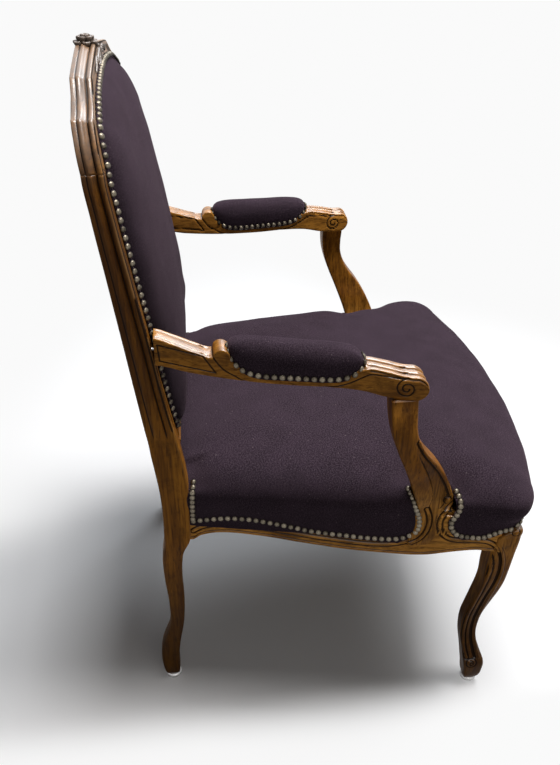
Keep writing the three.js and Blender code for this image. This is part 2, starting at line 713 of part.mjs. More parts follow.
function seatHalfLine() {
  const rear = seatRearPlaces.map((x) => new THREE.Vector2(-x, rearRailY));
  const flank = seatSidePlaces.map((y) => new THREE.Vector2(-railX(y), y));
  const front = frontPlaces.map((x) => new THREE.Vector2(-x, frontY(x)));
  const rearCorner = new THREE.Vector2(-railX(rearRailY), rearRailY);
  const frontCorner = new THREE.Vector2(-railX(frontRailY), frontRailY);
  return [
    ...rear, ...bend(rear.at(-1), rearCorner, flank[0]), ...flank, ...bend(flank.at(-1), frontCorner, front[0]), ...front,
  ];
}

const halfLine = seatHalfLine();
const frontStart = halfLine.length - frontPlaces.length - cornerSteps;
const seatLine = [...halfLine, ...halfLine.slice(1, -1).toReversed().map((p) => new THREE.Vector2(-p.x, p.y))];
const seatMiddle = new THREE.Vector2(0, seatCentreY);
const seatNormals = seatLine.map((p, i) => {
  const before = seatLine.at(i - 1);
  const after = seatLine[(i + 1) % seatLine.length];
  const normal = new THREE.Vector2(after.y - before.y, before.x - after.x).normalize();
  return normal.dot(p.clone().sub(seatMiddle)) < 0 ? normal.negate() : normal;
});

// The edge is drawn in beside the posts and the supports.
const supportMiddleY = supportY - supportSweep;
function pullAt(p) {
  const onSide = Math.abs(p.x) > railX(p.y) - seatCorner && p.y > frontRailY + seatCorner;
  if (!onSide) {
    return 1;
  }
  const toPost = railRearY - p.y;
  const toSupport = Math.abs(p.y - supportMiddleY) - supportDeep / 2;
  return smoothstep(Math.min(toPost, toSupport), -pullReach / 4, pullReach);
}

// Height of the nails round the seat: over the moulded rails, and up over the knees of the front legs.
function nailLevel(p) {
  const side = sideLow(Math.max(railFrontY, Math.min(railRearY, p.y))) + showTall;
  const front = frontLow(Math.min(blockInner, Math.abs(p.x))) + showTall;
  if (p.y > rearRailY - seatCorner) {
    return rearRailLow + showTall;
  }
  const away = Math.hypot(Math.abs(p.x) - railX(frontRailY), p.y - frontRailY);
  const onFront = p.y < frontRailY + seatCorner / 2 || Math.abs(p.x) < blockInner;
  return lerp(kneeRise, onFront ? front : side, smoothstep(away, kneeWide, kneeReach));
}

// One point of the seat's outer skin: section row k at plan point i, offset along its own normal.
const seatHeights = (share) => railTop + sheetThick + fit + share * seatCrown;
function seatPoint(k, i, off) {
  const [inward, outward, up] = seatSectionShares[k];
  const p = seatLine[i];
  const n = seatNormals[i];
  const rim = k < 3;
  const away = outward * seatBulge * pullAt(p) + (rim ? off : off / 2);
  const spot = p.clone().lerp(seatMiddle, inward).addScaledVector(n, away);
  const sink = up > seatWallShare ? seatSinkShare * (1 - pullAt(p)) * (1 - inward) : 0;
  return at(spot.x, spot.y, seatHeights(up * (1 - sink)) + (rim ? 0 : off));
}

// Rings of the seat's skin standing off the stuffing, from its top down to the hem below the nails.
const seatDome = (off) => seatSectionShares.map((_, k) => seatLine.map((_p, i) => seatPoint(k, i, off)));
function seatSkin(off, hemOff, below = 0) {
  const ring = (rise) => seatLine.map((p, i) => {
    const spot = p.clone().addScaledVector(seatNormals[i], hemOff);
    return at(spot.x, spot.y, nailLevel(p) + rise);
  });
  return [ring(-seatHem - below), ring(seatHem), ...seatDome(off)];
}

const hessianLift = (share) => hessianRise * (1 - share ** 4);

// Level ring of the seat's plan drawn in from the rails' outer faces, at a share of the way from the middle.
function planRing(share, drawn, height) {
  return seatLine.map((p, i) => {
    const edge = p.clone().addScaledVector(seatNormals[i], -drawn);
    const spot = seatMiddle.clone().lerp(edge, share);
    return at(spot.x, spot.y, height);
  });
}

const bedShares = [1, 0.7, 0.35];

function hessianShape() {
  const drawn = railThick / 5;
  const under = bedShares.map((share) => planRing(share, drawn, railTop + fit + hessianLift(share)));
  const over = bedShares.map((share) => planRing(share, drawn, railTop + fit + sheetThick + hessianLift(share)));
  return loft([...under.toReversed(), ...over]);
}

function seatStuffingShape() {
  const bed = bedShares.map((share) => planRing(share, railEdge, railTop + sheetThick + 2 * fit + hessianLift(share)));
  return loft([...bed.toReversed(), ...seatDome(-fit)]);
}

const seatCoverShape = () => cut(
  loft(seatSkin(fit + coverThick, fit + coverThick)), loft(seatSkin(fit, -coverThick, overrun)),
);

// What the seat's soft pieces have to clear: the posts with everything outside them, the supports and the legs.
function seatClear(gap) {
  const { x, halfX } = postAt(railTop);
  const behind = [-1, 1].map((side) => block(
    at(side * (x - halfX - gap), postFront(railTop) - gap, railLow - overrun),
    at(side * (railX(rearRailY) + seatBulge + overrun), rearRailY + seatBulge + overrun, seatHeights(1) + overrun),
  ));
  const support = supportShape(gap);
  return [...behind, support, mirrored(support)];
}

// Lattice of webbing inside an outline about a middle, its strips joined where they cross.
function lattice(outline, level, middleY, countX, pitchX, countY, pitchY) {
  const strips = [];
  for (let i = 0; i < countY; i += 1) {
    const y = middleY + (i - (countY - 1) / 2) * pitchY;
    strips.push(block(at(-railFrontX, y - webWide / 2, level - webThick), at(railFrontX, y + webWide / 2, level)));
  }
  for (let i = 0; i < countX; i += 1) {
    const x = (i - (countX - 1) / 2) * pitchX;
    strips.push(block(
      at(x - webWide / 2, middleY - railFrontX, level - webThick), at(x + webWide / 2, middleY + railFrontX, level),
    ));
  }
  return common(join(...strips), outline);
}

// Prism over the seat's plan drawn in from the rails' outer faces.
function planPrism(drawn, low, high) {
  return loft([planRing(1, drawn, low), planRing(1, drawn, high)]);
}

// Coil spring between two levels, waisted, as one unbroken wire.
function springShape(x, y, low, high) {
  const steps = springTurns * curlSteps;
  const rise = high - low - springWire;
  const centres = Array.from({ length: steps + 1 }, (_, i) => {
    const share = i / steps;
    const angle = (i / curlSteps) * 2 * Math.PI;
    const radius = springEndRadius - springWaist * Math.sin(share * Math.PI);
    return at(x + radius * Math.cos(angle), y + radius * Math.sin(angle), low + springWire / 2 + share * rise);
  });
  const rings = centres.map((c, i) => {
    const angle = (i / curlSteps) * 2 * Math.PI;
    const out = at(Math.cos(angle), Math.sin(angle), 0);
    return Array.from({ length: wireSides }, (_, k) => {
      const turn = (k / wireSides) * 2 * Math.PI;
      const spot = c.clone().addScaledVector(out, (Math.cos(turn) * springWire) / 2);
      spot.z += (Math.sin(turn) * springWire) / 2;
      return spot;
    });
  });
  let least = Infinity;
  for (let i = 0; i + curlSteps / 2 < centres.length; i += 1) {
    for (let j = i + curlSteps / 2; j < centres.length; j += 1) {
      least = Math.min(least, centres[i].distanceTo(centres[j]) - springWire);
    }
  }
  return { geometry: loft(rings), least };
}

// Pad of the back: its outline on the frame, and its crowned face.
const backOutlineCurve = new THREE.SplineCurve(backPadOutlineShares.map(
  ([out, up]) => new THREE.Vector2(out * backPadSide, up * backPadTall),
));
const backHalfLine = [
  ...Array.from({ length: 5 }, (_, i) => new THREE.Vector2((i / 5) * backPadOutlineShares[0][0] * backPadSide, 0)),
  ...backOutlineCurve.getSpacedPoints(backAround / 2 - 5),
];
const backLine = [
  ...backHalfLine,
  ...backHalfLine.slice(1, -1).toReversed().map((p) => new THREE.Vector2(-p.x, p.y)),
];
const backMiddle = new THREE.Vector2(0, backPadTall * 0.48);
// Front face of the back's frame; crestRear gives the rear one.
const backFace = (z) => (z > postTall ? crestRear(z) - 2 * postAt(postTall).halfY : postFront(z));

// A place over one of those faces: a plan point moved outward, standing off the face by a height.
function backSpot(p, grow, face, stand, share = 1) {
  const away = p.clone().sub(backMiddle);
  const length = away.length();
  const spot = backMiddle.clone().addScaledVector(away, (share * length + grow) / length);
  const z = backPadLow + spot.y;
  return at(spot.x, face(z) + stand, z);
}
const backRow = (share, grow, stand) => backLine.map((p) => backSpot(p, grow, backFace, -stand, share));
const backStand = (share) => backCrown * Math.sqrt(1 - share ** backPower);

// Webbing in the opening of the back, behind the pad.
function backWebbingShape() {
  const ring = (level) => backLine.map((p) => at(p.x, backPadLow + p.y, level));
  const outline = loft([ring(0), ring(webThick)]);
  const middleZ = backPadLow + backMiddle.y;
  const flat = lattice(outline, webThick, middleZ, backWebs, webPitchX, backWebs + 1, webPitchY);
  return shaped(flat, (p) => at(p.x, backFace(p.y) + webDeep + p.z, p.y));
}

function backStuffingShape() {
  const base = backBaseShares.map((share) => backRow(share, 0, -railEdge));
  return loft([...base, ...backDome(0)]);
}

// Face of the pad standing off the stuffing.
function backDome(off) {
  return backRowShares.map((share) => backRow(share, off, backStand(share) + fit + off));
}

// The pad as one solid out to a skin, and the flat hem of its cover on the frame.
function backFull(off, below = 0) {
  const base = backBaseShares.map((share) => backRow(share, share === 1 ? off : 0, -railEdge - below));
  return loft([...base, ...backDome(off)]);
}
function backHemShape(grow = 0) {
  const edge = [-railEdge, fit + coverThick + grow];
  const out = backHem + coverThick + grow;
  const row = (stand) => backBaseShares.map((share) => backRow(share, share === 1 ? out : 0, stand));
  return loft([...row(edge[0]), ...row(edge[1]).toReversed()]);
}
const backCoverShape = () => cut(join(backFull(fit + coverThick), backHemShape()), backFull(fit, overrun));

// Cover over the back's opening, on the rear faces of the frame.
function backOutsideShape(grow = 0) {
  const rim = backHem + coverThick + grow;
  const row = (share, stand) => backLine.map((p) => backSpot(p, share === 1 ? rim : 0, crestRear, stand, share));
  const low = backBaseShares.map((share) => row(share, -railEdge));
  return loft([...low, ...backBaseShares.toReversed().map((share) => row(share, coverThick + grow))]);
}

function armPadPoint(angle, level, grow) {
  const c = Math.cos(angle);
  const s = Math.sin(angle);
  const power = 2 / padPlanPower;
  const along = padRear + padLong / 2 + (padLong / 2 + grow) * Math.sign(c) * Math.abs(c) ** power * level.long;
  const y = armRearY - along;
  const side = Math.sign(s) * Math.abs(s) ** power * (armHalf(y) + grow + level.bulge) * level.wide;
  const fall = padFall * ((along - padRear) / padLong);
  const up = level.up < 0 ? level.up * (1 - Math.abs(c) ** padHemPower) : level.up;
  return at(-armX(y) + side, y, supportTop + padBed + up * (padTall - fall) + (level.lift ? grow : 0));
}

const padLevels = [
  { up: -padSkirt / padTall, long: 1, wide: 1, bulge: 0 }, { up: 0.1, long: 1, wide: 1, bulge: 0 },
  { up: 0.45, long: 1, wide: 1, bulge: padBulge, lift: true },
  { up: 0.8, long: 0.92, wide: 0.88, bulge: padBulge, lift: true },
  { up: 1, long: 0.62, wide: 0.45, bulge: 0, lift: true },
];
const padAround = 16;

function padRows(grow, levels) {
  return levels.map((level) => Array.from(
    { length: padAround }, (_, i) => armPadPoint(((i + 0.5) / padAround) * 2 * Math.PI, level, grow),
  ));
}

function armStuffingShape() {
  return cut(loft(padRows(0, padLevels.slice(1))), armShape(fit));
}

function armCoverShape() {
  const lower = { ...padLevels[0], up: padLevels[0].up - overrun / padTall };
  const inner = padRows(fit, [lower, ...padLevels.slice(1)]);
  return cut(loft(padRows(fit + coverThick, padLevels)), loft(inner), armShape(fit));
}

// Row of nails as one raised band: places on the cover, each with the way out of it.
function nailBand(path, lift = fit) {
  return loft(path.map(({ spot, out }, i) => {
    const before = path[Math.max(0, i - 1)].spot;
    const after = path[Math.min(path.length - 1, i + 1)].spot;
    const sideways = after.clone().sub(before).cross(out).normalize();
    return nailSection.map(([across, up]) => spot.clone()
      .addScaledVector(sideways, (across * nailWide) / 2).addScaledVector(out, lift + up * nailTall));
  }));
}

// Nails on one side of an arm pad, following the hem of its cover.
function armNailPath(side) {
  const steps = padAround / 2;
  return Array.from({ length: steps + 1 }, (_, i) => {
    const along = padNailReach * (2 * (i / steps) - 1);
    const y = armRearY - padRear - (padLong / 2) * (1 + along);
    const out = armHalf(y) + 3 * fit + coverThick;
    const rise = (padSkirt + nailWide / 2) * Math.abs(along) ** padHemPower;
    const z = supportTop + padBed - padSkirt + padNailUp + rise;
    return { spot: at(-armX(y) + side * out, y, z), out: at(side, 0, 0) };
  });
}

// Nails round the hem of the back's pad, or round the outside cover behind it.
const backNails = (face, way, lift) => loft(nailSection.map(([across, up]) => backLine.map((p) => backSpot(
  p, backHem + coverThick + ((across - 1) * nailWide) / 2, face, way * (lift + up * nailTall),
))), true);

// A place on the seat's cover, found from outside it.
const seatOuter = new THREE.Mesh(loft(seatSkin(fit + coverThick, fit + coverThick)));
function onSeat(x, y, z, out) {
  const from = at(x, y, z).addScaledVector(out, seatBulge + overrun);
  return { spot: new THREE.Raycaster(from, out.clone().negate()).intersectObject(seatOuter)[0].point, out };
}
const sideNail = (y, z) => onSeat(-railX(y), y, z, at(-1, 0, 0));
const lowNail = (y) => sideNail(y, nailLevel(new THREE.Vector2(-railX(y), y)));

// Nails on the seat's hem over the front and the rear rails, at plan points.
const hemNails = (indices) => indices.map((i) => onSeat(
  seatLine.at(i).x, seatLine.at(i).y, nailLevel(seatLine.at(i)), at(seatNormals.at(i).x, seatNormals.at(i).y, 0),
));

// Frame
const side = { right: -1, left: 1 };
const post = cut(
  join(postShape(), postTopTenon(0)),
  sideTenon(railRearY, 1, fit), rearTenon(side.right, fit), backRailTenon(side.right, fit), armTenonBlock(fit),
  screwAt(armScrew.place, armScrew.way, armScrew.long, fit), headWell(armScrew.place, armScrew.way),
  screwAt(blockScrew(corners.rear).place, blockScrew(corners.rear).way, screwLong, fit), glideAt('rear', fit),
);
addPair('back_post', post, 'wood');

const bothTenons = [postTopTenon(fit), mirrored(postTopTenon(fit))];
add('crest_rail', cut(join(crestShape(), ...flowerShape()), ...bothTenons), 'wood');
add('back_bottom_rail', join(backRailShape(), backRailTenon(side.right, 0), backRailTenon(side.left, 0)), 'wood');
const screwSpaces = Object.values(corners).flatMap((corner) => {
  const screw = blockScrew(corner);
  const space = screwAt(screw.place, screw.way, screw.long, fit);
  return [space, mirrored(space)];
});
add('rear_seat_rail', cut(
  join(rearRailShape(), rearTenon(side.right, 0), rearTenon(side.left, 0)),
  planPrism(railThick - rebateWide, railLow - overrun, underLevel), ...screwSpaces,
), 'wood');

const legSpace = frontLegShape(fit);
const legs = [legSpace, mirrored(legSpace)];
const postSpace = postShape(fit);
const posts = [postSpace, mirrored(postSpace)];
const well = planPrism(railThick - rebateWide, railLow - overrun, underLevel);
const sideRail = cut(sideRailShape(), postSpace, legSpace, supportShape(fit), well);
const sideRailWhole = cut(join(sideRail, sideTenon(railRearY, 1, 0), sideTenon(railFrontY, -1, 0)), ...screwSpaces);
addPair('side_seat_rail', sideRailWhole, 'wood');
add('front_seat_rail', cut(
  join(cut(frontRailShape(), ...legs, well), frontTenon(side.right, 0), frontTenon(side.left, 0)), ...screwSpaces,
), 'wood');
addPair('front_leg', cut(
  frontLegShape(), sideTenon(railFrontY, -1, fit), frontTenon(side.right, fit), glideAt('front', fit),
  screwAt(blockScrew(corners.front).place, blockScrew(corners.front).way, screwLong, fit),
), 'wood');

addPair('arm_support', join(supportShape(), supportTenon(0)), 'wood');
addPair('armrest', cut(
  join(armShape(), armTenonBlock(0)), supportTenon(fit),
  screwAt(armScrew.place, armScrew.way, armScrew.long, fit),
), 'wood');

const railSpace = [sideRailShape(fit), postShape(fit), legSpace, rearRailShape(fit), frontRailShape(fit)];
for (const [end, corner] of Object.entries(corners)) {
  const screw = blockScrew(corner);
  const shape = cut(
    blockShape(corner), ...railSpace, screwAt(screw.place, screw.way, screw.long, fit), headWell(screw.place, screw.way),
  );
  addPair(`corner_block_${end}`, shape, 'plain_wood');
  addPair(`corner_screw_${end}`, screwAt(screw.place, screw.way, screw.long), 'screw_steel');
  addPair(`glide_${end}`, glideAt(end, 0), 'glide_plastic');
}
addPair('arm_screw', screwAt(armScrew.place, armScrew.way, armScrew.long), 'screw_steel');

// Seat, from below
const webOutline = planPrism(railThick - rebateWide + fit, underLevel - railThick, underLevel - fit);
add('seat_webbing', cut(lattice(
  webOutline, underLevel - fit, seatCentreY, webStrips, webPitchX, webStrips, webPitchY,
), ...posts, ...legs), 'jute');
const dustHigh = underLevel - 2 * fit - webThick;
add('dust_cover', cut(planPrism(railThick - rebateWide + fit, dustHigh - dustThick, dustHigh), ...posts, ...legs), 'cambric');

springCrossings.forEach(([across, along], i) => {
  const high = railTop + hessianLift(i === 0 ? bedShares.at(-1) : bedShares[1]);
  const spring = springShape(across * webPitchX, seatCentreY + along * webPitchY, underLevel, high);
  add(`seat_spring_${i + 1}`, spring.geometry, 'spring_steel');
  console.log(`seat spring ${i + 1}: least gap between its curls ${spring.least.toFixed(2)} mm`);
});
const supportSpace = supportShape(fit);
const supports = [supportSpace, mirrored(supportSpace)];
add('seat_hessian', cut(hessianShape(), ...posts, ...supports, ...seatClear(fit)), 'jute');
add('seat_stuffing', cut(seatStuffingShape(), ...seatClear(2 * fit)), 'stuffing');
const rails = [sideRailShape(fit), mirrored(sideRailShape(fit)), frontRailShape(fit), rearRailShape(fit)];
add('seat_cover', cut(seatCoverShape(), ...seatClear(fit), ...legs, ...rails), 'fabric');

// Back, from the rear
const backSpace = (gap) => [postShape(gap), mirrored(postShape(gap)), crestShape(gap), backRailShape(gap)];
add('back_outside_cover', cut(backOutsideShape(), ...backSpace(fit)), 'fabric');
add('back_webbing', cut(backWebbingShape(), ...backSpace(fit), backFull(fit)), 'jute');
add('back_stuffing', cut(backStuffingShape(), ...backSpace(fit)), 'stuffing');
const arms = [armShape(fit), mirrored(armShape(fit))];
add('back_cover', cut(backCoverShape(), ...backSpace(fit), ...arms), 'fabric');

addPair('arm_pad_stuffing', armStuffingShape(), 'stuffing');
addPair('arm_pad_cover', armCoverShape(), 'fabric');
addPair('arm_nails_outer', nailBand(armNailPath(side.right)), 'brass');
addPair('arm_nails_inner', nailBand(armNailPath(side.left)), 'brass');

// Nails of the seat, each band cut to the cover that it lies on
const coverSpace = [loft(seatSkin(2 * fit + coverThick, 2 * fit + coverThick, overrun)), ...seatClear(fit), ...legs, ...rails];
const sideRun = sideNailPlaces.map(lowNail);
const sidePath = [...postNails.map(([y, z]) => sideNail(y, z)), ...sideRun, ...supportRearNails.map(([y, z]) => sideNail(y, z))];
const sideBand = nailBand(sidePath);
add('seat_nails_right', cut(sideBand, ...coverSpace), 'brass');
add('seat_nails_left', cut(mirrored(sideBand), ...coverSpace), 'brass');
const knee = frontStart + 1;
const kneeBand = nailBand([...supportFrontNails.map(([y, z]) => sideNail(y, z)), ...hemNails([knee - 2, knee - 1, knee])]);
add('seat_nails_corner_right', cut(kneeBand, ...coverSpace), 'brass');
add('seat_nails_corner_left', cut(mirrored(kneeBand), ...coverSpace), 'brass');
const acrossFront = Array.from({ length: seatLine.length - 2 * knee - 1 }, (_, i) => knee + 1 + i);
add('seat_nails_front', nailBand(hemNails(acrossFront), 2 * fit), 'brass');
const rearRun = [...seatRearPlaces.keys()].slice(1).toReversed().map((i) => -i);
add('seat_nails_rear', nailBand(hemNails([...rearRun, ...seatRearPlaces.keys()])), 'brass');

// Nails of the back
add('back_nails_front', cut(backNails(backFace, -1, 2 * fit + coverThick), ...arms), 'brass');
add('back_nails_rear', backNails(crestRear, 1, fit + coverThick), 'brass');

const box = new THREE.Box3().setFromObject(chair);
const middle = box.getCenter(new THREE.Vector3());
chair.position.set(-middle.x, -middle.y, -box.min.z);
console.log('size', box.getSize(new THREE.Vector3()).toArray(), 'moved', chair.position.toArray());

export default chair;
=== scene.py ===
import math

import bmesh
import bpy
import numpy as np
from mathutils import Matrix, Vector, noise
from mathutils.bvhtree import BVHTree


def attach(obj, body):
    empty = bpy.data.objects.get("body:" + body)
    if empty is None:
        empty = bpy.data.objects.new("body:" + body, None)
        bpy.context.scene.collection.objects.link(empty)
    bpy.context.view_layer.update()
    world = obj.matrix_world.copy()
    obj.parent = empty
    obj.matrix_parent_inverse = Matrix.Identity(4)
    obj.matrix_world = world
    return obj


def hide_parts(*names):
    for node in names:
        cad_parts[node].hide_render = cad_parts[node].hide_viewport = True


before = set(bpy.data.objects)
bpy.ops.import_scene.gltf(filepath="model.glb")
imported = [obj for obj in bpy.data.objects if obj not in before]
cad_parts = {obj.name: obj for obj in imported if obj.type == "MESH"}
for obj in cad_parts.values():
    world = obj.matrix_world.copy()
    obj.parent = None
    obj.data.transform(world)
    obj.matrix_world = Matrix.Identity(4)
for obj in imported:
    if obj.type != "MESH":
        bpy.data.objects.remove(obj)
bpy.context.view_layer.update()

# Shapes are drawn in millimetres, up from the floor, with the front towards -y, then put in the frame's
# metres.
TO_FRAME = Matrix.Scale(0.001, 4) @ Matrix.Translation((0, 5.315, 0))
MIRROR = Matrix.Scale(-1, 4, (1, 0, 0))


# Numbers that turn into smooth lines

def lerp(a, b, t):
    return a + (b - a) * t


def smooth(low, high, x):
    t = min(1.0, max(0.0, (x - low) / (high - low)))
    return t * t * (3 - 2 * t)


def steps(count, low=0.0, high=1.0):
    return [lerp(low, high, i / (count - 1)) for i in range(count)]


def follow(rows):
    """A smooth curve through rows of numbers: the first is the way along, the others are read from it."""
    def read(x):
        x = min(rows[-1][0], max(rows[0][0], x))
        i = next((k for k in range(1, len(rows)) if x <= rows[k][0]), len(rows) - 1)
        x0, x1 = rows[i - 1][0], rows[i][0]
        before, at_before = (rows[i - 2], rows[i - 2][0]) if i > 1 else (rows[i], 2 * x0 - x1)
        after, at_after = (rows[i + 1], rows[i + 1][0]) if i + 1 < len(rows) else (rows[i - 1], 2 * x1 - x0)
        back, ahead = (x1 - x0) / 2 / (x0 - at_before), (x1 - x0) / 2 / (at_after - x1)
        p = (x - x0) / (x1 - x0)
        p2, p3 = p * p, p * p * p
        weights = (
            -back * p3 + 2 * back * p2 - back * p,
            (1 + back) * p3 - (1.5 + 2 * back) * p2 + (back - 0.5) * p + 1,
            (-1 - ahead) * p3 + (1.5 + ahead) * p2 + 0.5 * p,
            ahead * p3 - ahead * p2,
        )
        return [sum(w * v for w, v in zip(weights, column)) for column in
                zip(before[1:], rows[i - 1][1:], rows[i][1:], after[1:])]
    return read


def spline(points, per=8):
    """Points along a smooth line through the points given."""
    read = follow([(i, *p) for i, p in enumerate(points)])
    return [read(i / per) for i in range((len(points) - 1) * per + 1)]


def arch(start, turn, end, count):
    """Points on a plain curve from start to end that leans towards turn."""
    return [[lerp(lerp(a, b, t), lerp(b, c, t), t) for a, b, c in zip(start, turn, end)]
            for t in steps(count)]


def spaced(points, pitch=None, count=None):
    """The same line with its points evenly spaced."""
    line = np.array(points, float)
    run = np.concatenate([[0], np.cumsum(np.linalg.norm(np.diff(line, axis=0), axis=1))])
    count = count or max(2, round(run[-1] / pitch) + 1)
    stops = np.linspace(0, run[-1], count)
    return np.stack([np.interp(stops, run, line[:, k]) for k in range(line.shape[1])], -1).tolist()


# Working on meshes

def tube(rings, capped=True):
    """A round bar with one ring for each of the rings given, every corner moved to its place on them."""
    around = len(rings[0])
    bm = bmesh.new()
    bmesh.ops.create_cone(bm, cap_ends=capped, segments=around, radius1=1, radius2=1, depth=1)
    upright = [e for e in bm.edges if abs(e.verts[0].co.z - e.verts[1].co.z) > 0.5]
    if len(rings) > 2:
        bmesh.ops.subdivide_edges(bm, edges=upright, cuts=len(rings) - 2)
    row, line = bm.verts.layers.int.new("row"), bm.verts.layers.int.new("line")
    for v in bm.verts:
        v[row] = round((v.co.z + 0.5) * (len(rings) - 1))
        v[line] = round(math.atan2(v.co.x, v.co.y) / math.tau * around) % around
        v.co = rings[v[row]][v[line]]
    if capped:
        bmesh.ops.poke(bm, faces=[f for f in bm.faces if len(f.verts) > 4])
    bmesh.ops.recalc_face_normals(bm, faces=bm.faces)
    return bm


def eased(corners, radius, counts, bend=3):
    """A ring through corners, each rounded by a radius, with a set number of points along each side."""
    ring = []
    for i, corner in enumerate(corners):
        after = corners[(i + 1) % len(corners)]
        into = corner + (corners[i - 1] - corner).normalized() * radius
        out = corner + (after - corner).normalized() * radius
        ring += [into.lerp(corner, t).lerp(corner.lerp(out, t), t) for t in steps(bend + 1)]
        end = after + (corner - after).normalized() * radius
        ring += [out.lerp(end, (k + 1) / (counts[i] + 1)) for k in range(counts[i])]
    return ring


def emboss(bm, relief):
    """Moves each corner out by what the rule says for its row, its line and its place."""
    bm.normal_update()
    row, line = bm.verts.layers.int["row"], bm.verts.layers.int["line"]
    for v, move in [(v, v.normal * relief(v[row], v[line], v.co)) for v in bm.verts]:
        v.co += move


BEAD = [(0, 1.6), (1.2, 1.25), (2.2, 0.1), (3, -1.8), (3.7, -2.1), (4.7, -1.1), (6, 0)]
GROOVE = [(0, -3.4), (1.3, -3.0), (2.5, -0.8), (3.4, 0)]
ROUND_BEAD = [(0, 1.8), (1.4, 1.3), (2.7, 0)]
BOSS = [(0, 1.9), (3.2, 1.6), (4.6, 0.5), (5.4, -1.1), (6.2, -1.3), (7.4, 0)]
FINE_GROOVE = [(0, -1.7), (0.5, -1.4), (1.1, -0.3), (1.7, 0)]


def measure(spots, path):
    """Distance of each place from a line, and the nearest place on the line."""
    line = np.array(path, float)
    nearest, touched = np.full(len(spots), 1e9), np.zeros_like(spots)
    for a, b in zip(line[:-1], line[1:]):
        way = b - a
        share = np.clip((spots - a) @ way / max(1e-9, way @ way), 0, 1)
        foot = a + share[:, None] * way
        away = np.linalg.norm(spots - foot, axis=1)
        touched[away < nearest] = foot[away < nearest]
        nearest = np.minimum(nearest, away)
    return nearest, touched


def enclosed(spots, outline):
    """Which places lie inside a closed line."""
    inside = np.zeros(len(spots), bool)
    for (ay, az), (by, bz) in zip(outline, [*outline[1:], outline[0]]):
        crossed = (az > spots[:, 1]) != (bz > spots[:, 1])
        inside ^= crossed & (spots[:, 0] < (by - ay) * (spots[:, 1] - az) / ((bz - az) or 1e-9) + ay)
    return inside


def finish_and_shade_of(bm):
    """Where the dark of the hollows is written on each corner: partly dark finish gathered there, partly
    painted shade.
    """
    return bm.verts.layers.float.get("finish_and_shade") or bm.verts.layers.float.new("finish_and_shade")


def recess(bm, outline, deep, wall, reach):
    """Sinks what lies inside a closed line on the outer side, with a steep wall; reach fades it by height."""
    finish_and_shade = finish_and_shade_of(bm)
    found = within_reach(bm, outline, 0, (-1, 0, 0))
    spots = np.array([v.co[1:] for v, _ in found])
    nearest, _ = measure(spots, [*outline, outline[0]])
    share = np.clip(nearest / wall, 0, 1) * enclosed(spots, outline)
    for (v, turned), amount in zip(found, share):
        if amount:
            sunk = amount * turned * reach(v.co.z)
            v.co -= v.normal * sunk * deep
            # Darker in the sunk part and most at its wall: partly dark finish, partly painted shade.
            v[finish_and_shade] = max(v[finish_and_shade], 0.2 * sunk + 0.5 * sunk * (amount < 1))


def trim(bm, outline, beyond):
    """Takes away what lies inside a closed line of (y, z) places, further out on each side than beyond."""
    low, high = np.min(outline, axis=0) - 12, np.max(outline, axis=0) + 12

    def near(v):
        return abs(v.co.x) > beyond and low[0] < v.co.y < high[0] and low[1] < v.co.z < high[1]
    bmesh.ops.triangulate(bm, faces=[f for f in bm.faces if any(near(v) for v in f.verts)])
    verts = [v for v in bm.verts if near(v)]
    spots = np.array([(v.co.y, v.co.z) for v in verts])
    nearest, touched = measure(spots, [*outline, outline[0]])
    depth = dict(zip(verts, np.where(enclosed(spots, outline), -nearest, nearest)))
    foot = dict(zip(verts, touched))
    for edge in [e for e in bm.edges if e.verts[0] in depth and e.verts[1] in depth]:
        if depth[edge.verts[0]] * depth[edge.verts[1]] < 0:
            moved = min(edge.verts, key=lambda v: abs(depth[v]))
            moved.co.y, moved.co.z = foot[moved]
            depth[moved] = 0.0
    gone = [f for f in bm.faces if all(depth.get(v, 1) <= 0 for v in f.verts)
            and any(depth[v] < 0 for v in f.verts)]
    bmesh.ops.delete(bm, geom=gone, context="FACES")


def within_reach(bm, path, away, facing):
    """The corners near a line of (y, z) places that face the right way, with how squarely they face it."""
    bm.normal_update()
    low, high = np.min(path, axis=0) - away, np.max(path, axis=0) + away
    way = Vector(facing)
    found = []
    for v in bm.verts:
        if low[0] < v.co.y < high[0] and low[1] < v.co.z < high[1] and v.normal.dot(way) > 0.22:
            found.append((v, min(1.0, (v.normal.dot(way) - 0.22) / 0.34)))
    return found


def carve(bm, path, section, facing=(-1, 0, 0), closed=False):
    """Cuts a moulding along a path of (y, z) places into what faces outward."""
    finish_and_shade = finish_and_shade_of(bm)
    found = within_reach(bm, path, section[-1][0], facing)
    nearest, _ = measure(np.array([v.co[1:] for v, _ in found]), [*path, path[0]] if closed else path)
    relief = np.interp(nearest, *zip(*section))
    for (v, turned), amount in zip(found, relief):
        if amount:
            v.co += v.normal * amount * turned
            # Darker in the grooves: partly dark finish, partly painted shade.
            v[finish_and_shade] = max(v[finish_and_shade], -0.5 * amount * turned)


